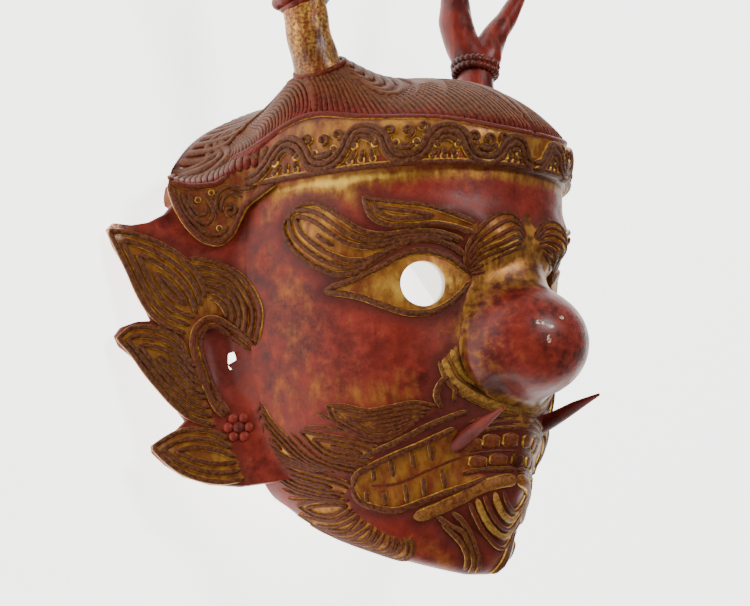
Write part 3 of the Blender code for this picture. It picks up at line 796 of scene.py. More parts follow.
def surface(tree, shader, colour, rough, heights, depth, metal=None):
    """Joins the finished colour, roughness, fine relief and share of metal to the shader."""
    tree.links.new(colour, shader.inputs["Base Color"])
    tree.links.new(rough, shader.inputs["Roughness"])
    surface_bump(tree, shader, heights, depth)
    if metal:
        tree.links.new(metal, shader.inputs["Metallic"])


def lacquer_with_gilding():
    """Red lacquer over gesso, gilded and rubbed: gold is left in brushed patches and beside the cords."""
    material, tree, shader = blank("rubbed_gilt_lacquer", IOR=1.45, Specular_IOR_Level=0.22,
                                   Coat_Weight=0.03, Coat_Roughness=0.3)
    place = own_place(tree)
    broad, mottled = noise_at(tree, place, 34), noise_at(tree, place, 7, 6)
    brushed = noise_at(tree, place, 5, 5, (1.0, 0.45, 1.0))
    speck = noise_at(tree, place, 1.6, 3)
    red = blend_colours(tree, ease(tree, broad, 0.35, 0.65), linear("lacquer deep"), linear("lacquer"))
    red = blend_colours(tree, ease(tree, mottled, 0.3, 0.8), red, linear("lacquer bright"))
    red = blend_colours(tree, ease(tree, speck, 0.5, 0.8, 0.0, 0.5), red, linear("grime"))
    wash = figure(tree, "ADD", figure(tree, "MULTIPLY", mottled, 0.5),
                  figure(tree, "MULTIPLY", brushed, 0.6))
    level = figure(tree, "ADD", attribute(tree, "gild"), wash)
    gilt = ease(tree, level, 0.7, 1.4, 0.0, 0.9)
    gold = blend_colours(tree, ease(tree, brushed, 0.3, 0.7), linear("gold deep"), linear("gold"))
    gold = blend_colours(tree, ease(tree, level, 1.25, 1.75), gold, linear("gold bright"))
    gold = blend_colours(tree, ease(tree, speck, 0.55, 0.85, 0.0, 0.55), gold, linear("lacquer deep"))
    colour = blend_colours(tree, gilt, red, gold)
    # Dark brown mixed in by the point value: patina beside the cords of the face and ears, painted shade on
    # the crown under the hair and on the flap's shoulder under the fringe, and a darker bowl in each ear.
    dirt_and_shade = figure(tree, "MULTIPLY", attribute(tree, "grime"), ease(tree, mottled, 0.2, 0.7, 0.35, 1.0))
    colour = blend_colours(tree, figure(tree, "MULTIPLY", dirt_and_shade, 0.8), colour, linear("grime"))
    chip = figure(tree, "MULTIPLY", attribute(tree, "chip"), ease(tree, mottled, 0.30, 0.42, 0.0, 1.0))
    colour = blend_colours(tree, chip, colour, blend_colours(
        tree, ease(tree, speck, 0.4, 0.6), linear("chip"), linear("gesso")))
    inside = attribute(tree, "inside")
    # The inside is near-white paper, made this pale partly as painted light: the shaded hollow seen through
    # the eye holes then looks as bright as the backdrop.
    colour = blend_colours(tree, inside, colour, linear("paper"))
    shine = gilt
    for cover in (dirt_and_shade, chip, inside):
        shine = figure(tree, "MULTIPLY", shine, figure(tree, "SUBTRACT", 1.0, cover))
    rough = ease(tree, mottled, 0.3, 0.7, 0.38, 0.55)
    for cover, more in ((dirt_and_shade, 0.2), (inside, 0.35)):
        rough = figure(tree, "ADD", rough, figure(tree, "MULTIPLY", cover, more))
    heights = figure(tree, "ADD", figure(tree, "MULTIPLY", mottled, 0.8),
                     figure(tree, "MULTIPLY", speck, 0.2))
    surface(tree, shader, colour, rough, heights, 0.0005, figure(tree, "MULTIPLY", shine, 0.6))
    return material


def putty_cord():
    """Cords of lacquer putty laid on by hand: dull brown tops with the gilding worn through at the edges."""
    material, tree, shader = blank("gilt_edged_putty", IOR=1.45, Specular_IOR_Level=0.15)
    place = own_place(tree)
    worn, fine = noise_at(tree, place, 5, 4), noise_at(tree, place, 1.4, 3)
    edge = figure(tree, "ADD", figure(tree, "MULTIPLY", off_crest(tree), 2.0),
                  figure(tree, "MULTIPLY", worn, 0.5))
    brown = blend_colours(tree, ease(tree, fine, 0.32, 0.72), linear("putty"), linear("putty pale"))
    red = blend_colours(tree, fine, linear("lacquer deep"), linear("lacquer"))
    share = figure(tree, "MULTIPLY", attribute(tree, "red"), ease(tree, worn, 0.3, 0.6, 0.4, 1.0))
    brown = blend_colours(tree, share, brown, red)
    gold = blend_colours(tree, ease(tree, fine, 0.3, 0.65), linear("gold"), linear("gold bright"))
    gilding = attribute(tree, "gilt")
    whole = figure(tree, "MULTIPLY", ease(tree, gilding, 1.0, 2.0), ease(tree, worn, 0.34, 0.52, 0.25, 1.0))
    gilt = figure(tree, "MAXIMUM", figure(tree, "MULTIPLY", ease(tree, edge, 0.84, 1.04), gilding), whole)
    gilt = figure(tree, "MINIMUM", gilt, 1.0)
    surface(tree, shader, blend_colours(tree, gilt, brown, gold), ease(tree, fine, 0.3, 0.7, 0.4, 0.6),
            fine, 0.0004, figure(tree, "MULTIPLY", gilt, 0.7))
    return material


def nose_lacquer():
    """Thick polished red lacquer, the smoothest part of the mask, chipped to the gesso in a few places."""
    material, tree, shader = blank("polished_red_lacquer", IOR=1.5, Specular_IOR_Level=0.22,
                                   Coat_Weight=0.08, Coat_Roughness=0.22)
    place = own_place(tree)
    broad, mottled = noise_at(tree, place, 20), noise_at(tree, place, 5, 6)
    speck = noise_at(tree, place, 1.5, 3)
    red = blend_colours(tree, ease(tree, broad, 0.35, 0.65), linear("lacquer deep"), linear("lacquer"))
    red = blend_colours(tree, ease(tree, mottled, 0.35, 0.75), red, linear("lacquer bright"))
    level = figure(tree, "ADD", attribute(tree, "gild"), mottled)
    gilt = ease(tree, level, 0.8, 1.25, 0.0, 0.8)
    gold = blend_colours(tree, ease(tree, mottled, 0.35, 0.65), linear("gold deep"), linear("gold"))
    colour = blend_colours(tree, gilt, red, gold)
    # Dark brown mixed in by the point value: on the nose this is painted shade in the nostrils and creases.
    dirt_and_shade = figure(tree, "MULTIPLY", attribute(tree, "grime"), ease(tree, mottled, 0.2, 0.7, 0.5, 1.0))
    colour = blend_colours(tree, figure(tree, "MULTIPLY", dirt_and_shade, 0.85), colour, linear("grime"))
    chip = figure(tree, "MULTIPLY", ease(tree, attribute(tree, "chip"), 0.5, 0.7),
                  ease(tree, speck, 0.46, 0.52))
    colour = blend_colours(tree, chip, colour, linear("gesso"))
    surface(tree, shader, colour, ease(tree, mottled, 0.3, 0.7, 0.34, 0.48), mottled, 0.00035,
            figure(tree, "MULTIPLY", gilt, 0.7))
    return material


def hair_lacquer():
    """Combed hair in putty: brown lacquer on the crests, red left in the grooves and above the band."""
    material, tree, shader = blank("combed_putty", IOR=1.45, Specular_IOR_Level=0.1)
    place = own_place(tree)
    patchy, fine = noise_at(tree, place, 14, 4), noise_at(tree, place, 1.6, 3)
    brown = blend_colours(tree, ease(tree, fine, 0.3, 0.7), linear("putty"), linear("putty pale"))
    edge = off_crest(tree)
    share = figure(tree, "ADD", attribute(tree, "red"), ease(tree, patchy, 0.45, 0.7, 0.0, 0.45))
    share = figure(tree, "ADD", share, ease(tree, edge, 0.28, 0.46, 0.0, 0.7))
    red = blend_colours(tree, ease(tree, fine, 0.35, 0.65), linear("lacquer deep"), linear("lacquer"))
    colour = blend_colours(tree, ease(tree, share, 0.25, 0.95, 0.0, 0.9), brown, red)
    glint = figure(tree, "MULTIPLY", ease(tree, edge, 0.2, 0.05), ease(tree, patchy, 0.52, 0.66, 0.0, 0.5))
    colour = blend_colours(tree, glint, colour, linear("gold deep"))
    surface(tree, shader, colour, ease(tree, fine, 0.3, 0.7, 0.4, 0.6), fine, 0.0003)
    return material


def branch_finish(name, gold_share):
    """A cut antler lacquered red and gilded: the gold lies in long streaks where the grain held it."""
    material, tree, shader = blank(name, IOR=1.5, Specular_IOR_Level=0.2, Coat_Weight=0.04,
                                   Coat_Roughness=0.3)
    place = own_place(tree)
    streaks = noise_at(tree, place, 5, 5, (1.0, 0.16, 1.0))
    broad, fine = noise_at(tree, place, 24), noise_at(tree, place, 1.5, 3)
    red = blend_colours(tree, ease(tree, broad, 0.4, 0.6), linear("lacquer deep"), linear("lacquer"))
    red = blend_colours(tree, ease(tree, streaks, 0.5, 0.7), red, linear("lacquer bright"))
    level = figure(tree, "ADD", figure(tree, "MULTIPLY", streaks, 0.7), figure(tree, "MULTIPLY", broad, 0.3))
    level = figure(tree, "ADD", level, attribute(tree, "gild"))
    gilt = ease(tree, level, 0.54 - gold_share, 1.0 - gold_share)
    gold = blend_colours(tree, ease(tree, fine, 0.35, 0.7), linear("gold deep"), linear("gold bright"))
    colour = blend_colours(tree, gilt, red, gold)
    dirt_and_shade = figure(tree, "MULTIPLY", attribute(tree, "grime"), 0.8)
    colour = blend_colours(tree, dirt_and_shade, colour, linear("putty"))
    surface(tree, shader, colour, ease(tree, streaks, 0.3, 0.7, 0.28, 0.5), streaks, 0.0006,
            figure(tree, "MULTIPLY", gilt, 0.6))
    return material


def studio_floor():
    """Matt white paper sweep, lit strongly from itself so that it stays pale under the mask."""
    white = linear("floor")
    material, tree, shader = blank("paper_sweep", Base_Color=white, Roughness=0.85, Emission_Color=white,
                                   Emission_Strength=FLOOR_GLOW)
    place = own_place(tree)
    surface_bump(tree, shader, noise_at(tree, place, 2, 3), 0.00004)
    return material


# Motifs

def cord_lines(sizes, ground):
    """All the raised lines of one half of the face, by group."""
    wide, high, gap = sizes.cord_width, sizes.cord_height, sizes.cord_gap
    plain = {"gilt": 1.0, "red": 0.0}
    eye = [line(ground, marks, wide * share, high, **plain)
           for marks, share in ((LID_LOW, 1.1), (LID_HIGH, 1.1), (LID_CREASE, 1.0))]
    eye += nested(ground, SWIRL_LOW, SWIRL_HIGH, gap * 0.92, 6, wide * 0.95, high, **plain)
    brow = nested(ground, BROW_LOW, BROW_HIGH, gap * 0.8, 5, wide * 0.9, high, **plain)
    brow += between(ground, ARCH_HIGH, ARCH_LOW, 7, wide * 0.85, high * 1.1, gilt=0.9, red=0.25)
    mouth = [line(ground, marks, wide * 1.1, high, gilt=1.0, red=0.15)
             for marks in (MOUTH_HIGH, MOUTH_LOW, LOCK_UP)]
    mouth.append(line(ground, MOUTH_GROOVE, wide * 0.5, high * 0.4, gilt=0.4, red=0.6))
    mouth.append(line(ground, MOUTH_LINE, wide, high, **plain))
    for shift in (-1, 1):
        side = beside(ground, RIDGE, shift * 2.6)
        mouth.append(line(ground, side, wide * 0.7, high * 0.8, gilt=1.2, red=0.4))
    mouth.append(line(ground, RIDGE, wide * 1.5, high * 1.1, gilt=1.4, red=0.8))
    mouth.append(line(ground, RIDGE_HIGH, wide * 1.3, high * 0.8, gilt=1.45, red=0.8))
    mouth += tooth_marks(ground, wide, high)
    chin = [line(ground, marks, wide * 0.9, high, gilt=1.1, red=0.3) for marks in TENDRILS]
    beard = []
    for left, right in BEARD:
        beard += nested(ground, left, right, gap * 0.55, 9, wide * 0.7, high * 0.8, gilt=0.8, red=0.25)
    for upper, lower, count in BEARD_FILL:
        beard += between(ground, upper, lower, count, wide * 0.7, high * 0.8, gilt=0.8, red=0.25)
    return {"eye": eye, "brow": brow, "mouth": mouth, "chin": chin, "beard": beard}


def goatee_lines(sizes):
    """The nested loops of the goatee: each runs down one side of its middle and up the other."""
    made = []
    for k, half in enumerate(GOATEE):
        marks = list(half) + [(2 * GOATEE_MIDDLE - u, v) for u, v in half[-2::-1]]
        made.append(line(chin_ground(), marks, sizes.cord_width * (1.15 if k % 2 else 0.8), sizes.cord_height,
                         gilt=1.4 if k in (1, 3) else 1.0, red=0.6))
    return made


def tooth_marks(ground, wide, high):
    """Short cords that part the teeth of the corner panel: one row hangs from its top, one stands below."""
    low_run, top_run = spaced(MOUTH_LOW, ground.at), spaced(MOUTH_HIGH, ground.at)
    made = []
    for shares, ends in (((0.2, 0.36, 0.52, 0.68, 0.83), (0.06, 0.24, 0.40)),
                         ((0.28, 0.45, 0.61, 0.78), (0.60, 0.78, 0.94))):
        for share in shares:
            foot = low_run[int(share * 0.86 * (len(low_run) - 1))]
            head = top_run[int(share * (len(top_run) - 1))]
            marks = [foot + (head - foot) * t for t in ends]
            made.append(line(ground, marks, wide * 0.85, high * 0.9, taper=1.0, gilt=1.0, red=0.0))
    return made


def front_teeth(ground, wide, high):
    """Front teeth like bricks in two rows, each a low rounded block, under fine lines of the moustache."""
    made = []
    for spots, low, top in (((4.3, 11.6, 18.2), 28.3, 31.0), ((0.0, 8.2, 15.6), 25.2, 27.4)):
        for u in spots:
            dip = 0.0042 * u**2
            marks = [(u, low - dip), (u, (low + top) / 2 - dip), (u, top - dip)]
            made.append(line(ground, marks, 10.0, high * 0.95, taper=1.6, gilt=1.15, red=1.0))
    for base, share in ((31.9, 0.7), (33.0, 0.6), (34.0, 0.6), (27.8, 0.4), (24.7, 0.9)):
        marks = [(u, base - 0.0042 * u**2) for u in (0, 6, 12, 18, 22)]
        made.append(line(ground, marks, wide * share, high * share, gilt=0.9, red=0.2))
    return made


def wave_at(k):
    """Turning point k of the running wave: crests under the band's top border, troughs on its foot."""
    u = WAVE_AT[k]
    foot, top = 100 * BAND_FOOT, 100 * band_top(u / 100)
    return u, foot + (top - foot) * (0.83 if k % 2 else 0.17)


def wave_marks():
    """Points along the wave: a cosine between turning points, steepened so that its turns are round."""
    turns = [wave_at(k) for k in range(len(WAVE_AT))]
    marks = []
    for (u0, v0), (u1, v1) in zip(turns, turns[1:]):
        for t in (0.0, 0.2, 0.4, 0.6, 0.8):
            swing = math.copysign(abs(math.cos(math.pi * t)) ** 0.8, math.cos(math.pi * t))
            marks.append((u0 + (u1 - u0) * (t + 0.05 * math.sin(2 * math.pi * t)),
                          (v0 + v1) / 2 + (v0 - v1) / 2 * swing))
    return marks + [turns[-1]]


def band_lines(sizes, ground):
    """The running scroll of the band: a double wave with nested hooks and knobs in every pocket."""
    wide, high = sizes.cord_width, sizes.cord_height
    plain = {"gilt": 1.0, "red": 0.0}
    marks = wave_marks()
    made = [line(ground, beside(ground, marks, shift * 1.6), wide * 1.3, high * 1.3, **plain)
            for shift in (-1, 1)]
    for k in range(1, len(WAVE_AT) - 1):
        at_u, at_v = wave_at(k)
        inward = -1 if k % 2 else 1
        up_by = -ground.way * inward
        tall = (100 * band_top(at_u / 100) - 100 * BAND_FOOT) * inward
        reach = abs(WAVE_AT[k - 1] - WAVE_AT[k + 1]) / 4
        hook = beside(ground, marks[5 * k - 2:5 * k + 3], 4.7 * up_by)
        made.append(line(ground, hook, wide * 1.1, high * 1.2, taper=2, **plain))
        made += [knob(ground, hook[end], 2.3, **plain) for end in (0, -1)]
        if k % 2:
            for share in (-0.34, 0.0, 0.34):
                drop = [(at_u + share * reach, at_v + 0.40 * tall),
                        (at_u + 1.6 * share * reach, at_v + 0.62 * tall)]
                made.append(line(ground, drop, wide, high * 1.2, taper=2, **plain))
                made.append(knob(ground, drop[1], 2.0, **plain))
        else:
            inner = beside(ground, marks[5 * k - 1:5 * k + 2], 6.0 * up_by)
            made.append(line(ground, inner, wide * 0.8, high, taper=2, **plain))
            for share in (-0.8, 0.0, 0.8):
                spot = (at_u + share * reach, at_v + (0.56 + 0.05 * abs(share)) * tall)
                spin = 1 if share > 0 else -1
                made.append(curl(ground, spot, 3.3, 1.15, -1.2, spin, wide * 0.8, high * 1.2, **plain))
                made.append(knob(ground, spot, 1.4, **plain))
    top = [(u, 100 * band_top(u / 100) + 0.4) for u in (0, 6, 14, 24, 36, 50, 60, 70, 78, 82, 85, 87, 89)]
    made.append(line(ground, top, wide * 1.2, high * 1.2, gilt=0.5, red=1.0))
    foot = [(u, 100 * BAND_FOOT + 0.5) for u in (0, 15, 30, 45, 60, 70, 79)]
    made.append(line(ground, foot, wide * 1.05, high * 1.1, gilt=0.7, red=0.1))
    return made


def flap_lines(sizes, ground):
    """The flap's border and the scrolls on it."""
    wide, high = sizes.cord_width, sizes.cord_height
    plain = {"gilt": 0.9, "red": 0.1}
    made = [line(ground, FLAP_EDGE, wide * 1.15, high * 1.2, gilt=0.7, red=0.35),
            line(ground, FLAP_LINES[0], wide * 1.1, high * 1.1, gilt=0.6, red=0.7)]
    made += [line(ground, marks, wide * 0.85, high, **plain) for marks in FLAP_LINES[1:]]
    made.append(curl(ground, (1.4, 46), 3.4, 1.3, 1.2, 1, wide * 0.75, high, **plain))
    return made + [knob(ground, spot, 1.7, **plain) for spot in ((7, 37.4), (17, 51.6), (10.4, 55))]


def ear_lines(sizes, ground):
    """The raised lines of an ear: three leaves, the rainbow of the helix and the double rim of the bowl."""
    wide, high, gap = sizes.cord_width, sizes.cord_height, sizes.cord_gap
    plain = {"gilt": 1.0, "red": 0.0}
    made = []
    for left, right, count in EAR_LEAVES:
        made += nested(ground, left, right, gap * 0.94, count + 1, wide * 0.92, high, **plain)
    helix = [spaced(marks, ground.at) for marks in (EAR_HELIX, EAR_HELIX_IN)]
    share = np.linspace(0, 1, 12)
    helix = [np.stack([np.interp(share, np.linspace(0, 1, len(run)), run[:, k]) for k in (0, 1)], -1)
             for run in helix]
    made += between(ground, *helix, 6, wide * 0.9, high, **plain)
    return made + [line(ground, marks, wide * 1.1, high * 1.1, gilt=0.9, red=0.3)
                   for marks in (EAR_BOWL, EAR_BOWL_IN)]


def within(a, b, outline):
    """Whether each point lies in the outline: a line across it crosses an odd number of its sides."""
    inside = np.zeros(a.shape, bool)
    for (a0, b0), (a1, b1) in zip(outline, np.roll(outline, -1, axis=0)):
        if b0 != b1:
            inside ^= ((b0 > b) != (b1 > b)) & (a < (a1 - a0) * (b - b0) / (b1 - b0) + a0)
    return inside


def leaf_outline(left, right):
    """The closed outline of a leaf from its two edges, which share the tip."""
    return np.array(tuple(left) + tuple(right)[::-1], float)


def face_fields(u, v):
    """1 in the gilded fields that the cords of the face enclose, 0 outside them."""
    a, b = 100 * np.abs(u), 100 * v
    pairs = list(BEARD) + [(SWIRL_LOW, SWIRL_HIGH), (BROW_LOW, BROW_HIGH), (LID_LOW, LID_HIGH),
                           (ARCH_LOW, ARCH_HIGH), (MOUTH_LOW, MOUTH_HIGH), (RIDGE, RIDGE_FIELD)]
    field = np.zeros(u.shape, bool)
    for left, right in pairs:
        field |= within(a, b, leaf_outline(left, right))
    return field.astype(float)


def near_lines(points, parts, reach):
    """For each point the closeness to the nearest cord: 1 at the cord and 0 from reach millimetres on."""
    marks = np.concatenate([piece["points"][::4] for piece in parts])
    best = np.full(len(points), 1e9)
    for start in range(0, len(points), 4000):
        chunk = points[start:start + 4000]
        gap = (chunk**2).sum(1)[:, None] + (marks**2).sum(1)[None] - 2 * chunk @ marks.T
        best[start:start + 4000] = np.sqrt(np.maximum(gap.min(1), 0))
    return 1 - np.clip(best / reach, 0, 1)


# Pieces

def off_axis(points, centre, axis):
    """Distance of each point from the line through the centre along the axis."""
    offset = points - centre
    return np.linalg.norm(offset - (offset @ axis)[..., None] * axis, axis=-1)


def face_shell(sizes, lines):
    """The face: the shell from throat to band over its own inner wall, cut through at the eyes."""
    rows, columns = 190, 281
    v, u = np.meshgrid(np.linspace(0, FACE_TOP, rows), np.linspace(-1, 1, columns), indexing="ij")
    eye = np.ones((rows - 1, columns - 1), bool)
    for way in (-1, 1):
        centre = skin(way * EYE_AT[0], EYE_AT[1])
        axis = normal(np.array(way * EYE_AT[0]), np.array(EYE_AT[1]))
        inside = (np.sign(u) == way) & (off_axis(skin(u, v), centre, axis) < sizes.eye_radius)
        eye &= ~all_corners(inside)
        for _ in range(3):
            far = off_axis(skin(u, v), centre, axis)
            push = np.where(inside, sizes.eye_radius / np.maximum(far, 0.5), 1.0)
            u = way * EYE_AT[0] + (u - way * EYE_AT[0]) * push
            v = EYE_AT[1] + (v - EYE_AT[1]) * push
    outer, inner = skin(u, v), skin(u, v) - normal(u, v) * sizes.wall
    flat = outer.reshape(-1, 3)
    cords = [piece for name, group in lines.items() if name != "band" for piece in group]
    close = near_lines(flat, cords, sizes.halo_reach)
    field = face_fields(u, v).ravel()
    front = (hill(u, v, 0.06, 0.265, 0.13, 0.045) > 0.4).ravel()
    gild = np.where(front, -0.1, gilding(u, v).ravel() * (1 - 0.75 * close) + 0.52 * field)
    grime = (1 - field) * ramp(close, 0.25, 0.9) * 0.85
    return walled(outer, inner, (rows, columns), eye, gild=gild, grime=grime, chip=0 * gild)


def gilding(u, v):
    """How much gold the rubbing left: a line under the band and broad patches where the mask stands proud."""
    gold = 0.60 * np.exp(-((v - 0.738) / 0.014) ** 2) * (1 - ramp(np.abs(u), 0.7, 0.9))
    for strength, *place in RUBBED:
        gold = gold + strength * hill(u, v, *place)
    return gold + 0.08


def hair_cap(sizes):
    """The band and the crown under the hair: a wall from the band's foot to the rear rim."""
    rows, columns = 120, 261
    share = np.concatenate([np.linspace(0, 0.035, 12), np.linspace(0.045, 1, rows - 12)])
    share, u = np.meshgrid(share, np.linspace(-1, 1, columns), indexing="ij")
    v = BAND_FOOT - 0.004 + (1 - BAND_FOOT + 0.004) * share
    inner = shell(u, v) + normal(u, v) * (relief(u, v) - 0.1 - sizes.wall * ramp(v, 0.78, 0.80))[..., None]
    outer = skin(u, v)
    on_band = (1 - ramp(v, band_top(u) - 0.004, band_top(u) + 0.004)).ravel()
    rear = ramp(np.abs(u), 0.5, 0.85).ravel()
    gild = on_band * (0.66 - 0.3 * rear)
    # Painted shade: the crown under the combed strands is painted dark where it shows between them; the band
    # is also darkened a little towards the rear.
    grime = (1 - on_band) * 0.9 + 0.3 * on_band * rear
    return walled(outer, inner, (rows, columns), None, gild=gild, grime=grime, chip=0 * gild)


def hair_strands(sizes, way):
    """Combed strands of one half: each leaves the antler's foot sideways and turns down to the border.

    The targets lie strand_gap apart along the band and further apart behind; a strand is a quadratic
    curve in u and v over a control point near the level of the antler, cut where the antler stands.
    """
    edge = [(u, band_top(u) + 0.004) for u in np.linspace(0.006, 0.985, 90)]
    edge += [(0.985, v) for v in np.linspace(band_top(0.985) + 0.01, 0.975, 22)]
    edge += [(u, 0.99) for u in np.linspace(0.96, 0.006, 50)]
    edge += [(0.006, v) for v in np.linspace(0.98, BAND_TOP_FRONT + 0.016, 40)]
    edge = np.array(edge)
    place = skin(way * edge[:, 0], edge[:, 1])
    step = np.linalg.norm(np.diff(place, axis=0), axis=-1)
    step[90:] *= 0.55
    length = np.concatenate([[0], np.cumsum(step)])
    along = np.arange(0, length[-1], sizes.strand_gap)
    target = np.stack([np.interp(along, length, edge[:, k]) for k in (0, 1)], -1)
    seat = np.array(SEAT_UV)
    reach = target - seat
    control = seat + reach * (0.80, 0.16) + (0, 0.012)
    t = np.linspace(0, 1, 90)[None, :, None]
    run = (1 - t) ** 2 * seat + 2 * t * (1 - t) * control[:, None] + t**2 * target[:, None]
    run = run + np.stack([-reach[:, 1], reach[:, 0]], -1)[:, None] * 0.10 * np.sin(2 * math.pi * t)
    foot = skin(way * seat[0], seat[1])
    far = np.linalg.norm(skin(way * run[..., 0], run[..., 1]) - foot, axis=-1)
    even = np.linspace(0, 1, 46)
    begin = [np.interp(BEAM_R[way] + 1.2, row, t[0, :, 0]) for row in far]
    run = np.stack([np.stack([np.interp(first + (1 - first) * even, t[0, :, 0], one[:, k])
                              for k in (0, 1)], -1) for first, one in zip(begin, run)])
    run[..., 0] = np.clip(run[..., 0], 0.003, 0.99)
    run[..., 1] = np.clip(run[..., 1], BAND_TOP_FRONT, 0.994)
    u, v = way * run[..., 0], run[..., 1]
    path = skin(u, v)
    spread = np.linalg.norm(np.roll(path, -1, 0) - path, axis=-1)
    spread[-1] = spread[-2]
    wide = np.clip(spread * 1.05, 0.8, 5.2)
    red = ramp(1 - (v - band_top(u)) / 0.04, 0.0, 1.0)
    strands = [sweep(path, normal(u, v), wide, np.clip(0.5 * wide, 0.6, sizes.strand_height), around=7,
                     taper=3.0, red=red, gilt=0.0)]
    turn = np.linspace(0, 2 * math.pi, 61)[:-1]
    ring_u, ring_v = seat[0] + 0.082 * np.cos(turn), seat[1] + 0.046 * np.sin(turn)
    ring = skin(way * ring_u, ring_v)
    radius = np.linalg.norm(ring - foot, axis=-1)
    ring_u = seat[0] + (ring_u - seat[0]) * (BEAM_R[way] + 1.4) / radius
    ring_v = seat[1] + (ring_v - seat[1]) * (BEAM_R[way] + 1.4) / radius
    ring = skin(way * ring_u, ring_v)
    strands.append(sweep(ring[None], normal(way * ring_u, ring_v)[None], 3.0, 2.2, closed=True, red=0.6,
                         gilt=0.0))
    return strands


def fringe(way):
    """Short strands that fall over the shoulder of the flap from the crown behind it."""
    share = np.linspace(0.06, 0.97, 17)
    top = np.stack([np.interp(share, np.linspace(0, 1, len(FLAP_TOP)), np.array(FLAP_TOP)[:, k])
                    for k in (0, 1)], -1)
    t = np.linspace(0, 1, 22)[None, :, None]
    run = top[:, None] + np.array(FLAP_BEHIND) * (1 - t) + np.array((1.4, 0)) * np.sin(math.pi * t)
    path = shoulder(run[..., 0], run[..., 1], np.clip(1 - t[..., 0] * np.ones((17, 1)), 0, 1), way)
    along = np.gradient(path, axis=1)
    across = np.gradient(path, axis=0)
    out = unit(np.cross(along, across)) * way
    spread = np.linalg.norm(across, axis=-1)
    return sweep(path, out, np.clip(spread * 1.04, 1.0, 5.0), 1.4, around=7, taper=3.0,
                 red=ramp(t[..., 0], 0.3, 0.9), gilt=0.0)


def shoulder(out, up, share, way):
    """The shoulder of the flap: eased from the flap's height at share 0 to the crown behind it at 1."""
    high, _ = ear_front(out, up, way, 0.0)
    face = seen_at(out, up, *ear_frame(way), np.full(np.shape(out), way * 0.93), np.full(np.shape(out), 0.82))
    level = high + (np.clip(face, -34.0, 60.0) - high) * ramp(share, 0.0, 1.0) + BAND_LIFT + 0.5
    return ear_spot(out, up, way, level)


def band_flap(way):
    """The flap: rows from the shoulder on the crown down to its free edge, over an inner skin."""
    rows, columns = 44, 70
    share = np.linspace(0, 1, columns)
    knots = np.linspace(0, 1, len(FLAP_TOP))
    top, edge = [np.stack([smooth(share, knots, np.array(marks, float)[:, k]) for k in (0, 1)], -1)
                 for marks in (FLAP_TOP, FLAP_EDGE)]
    down = np.linspace(0, 1, rows - 14)[:, None, None]
    spots = np.concatenate([top + np.array(FLAP_BEHIND) * np.linspace(1, 0.04, 14)[:, None, None],
                            top + (edge - top) * down])
    back = np.concatenate([np.linspace(1, 0.04, 14), np.zeros(rows - 14)])[:, None] * np.ones(columns)
    outer = shoulder(spots[..., 0], spots[..., 1], back, way)
    sink = ear_spot(0, 0, way, 2.6) - ear_spot(0, 0, way, 0.0)
    start = 0.9 * (1 - ramp(share, 0.0, 0.12))[:, None] * sink / 2.6
    outer = outer - start
    inner = outer - sink
    if way < 0:
        outer, inner = outer[::-1], inner[::-1]
        back = back[::-1]
    # Painted shade: the shoulder that runs back under the fringe is made darker and less gilded; the rest of
    # the flap is darkened evenly a little.
    red = 0.35 * ramp(back, 0.0, 0.3)
    return walled(outer, inner, (rows, columns), None, gild=0.45 - red, grime=0.3 + red, chip=0 * back)


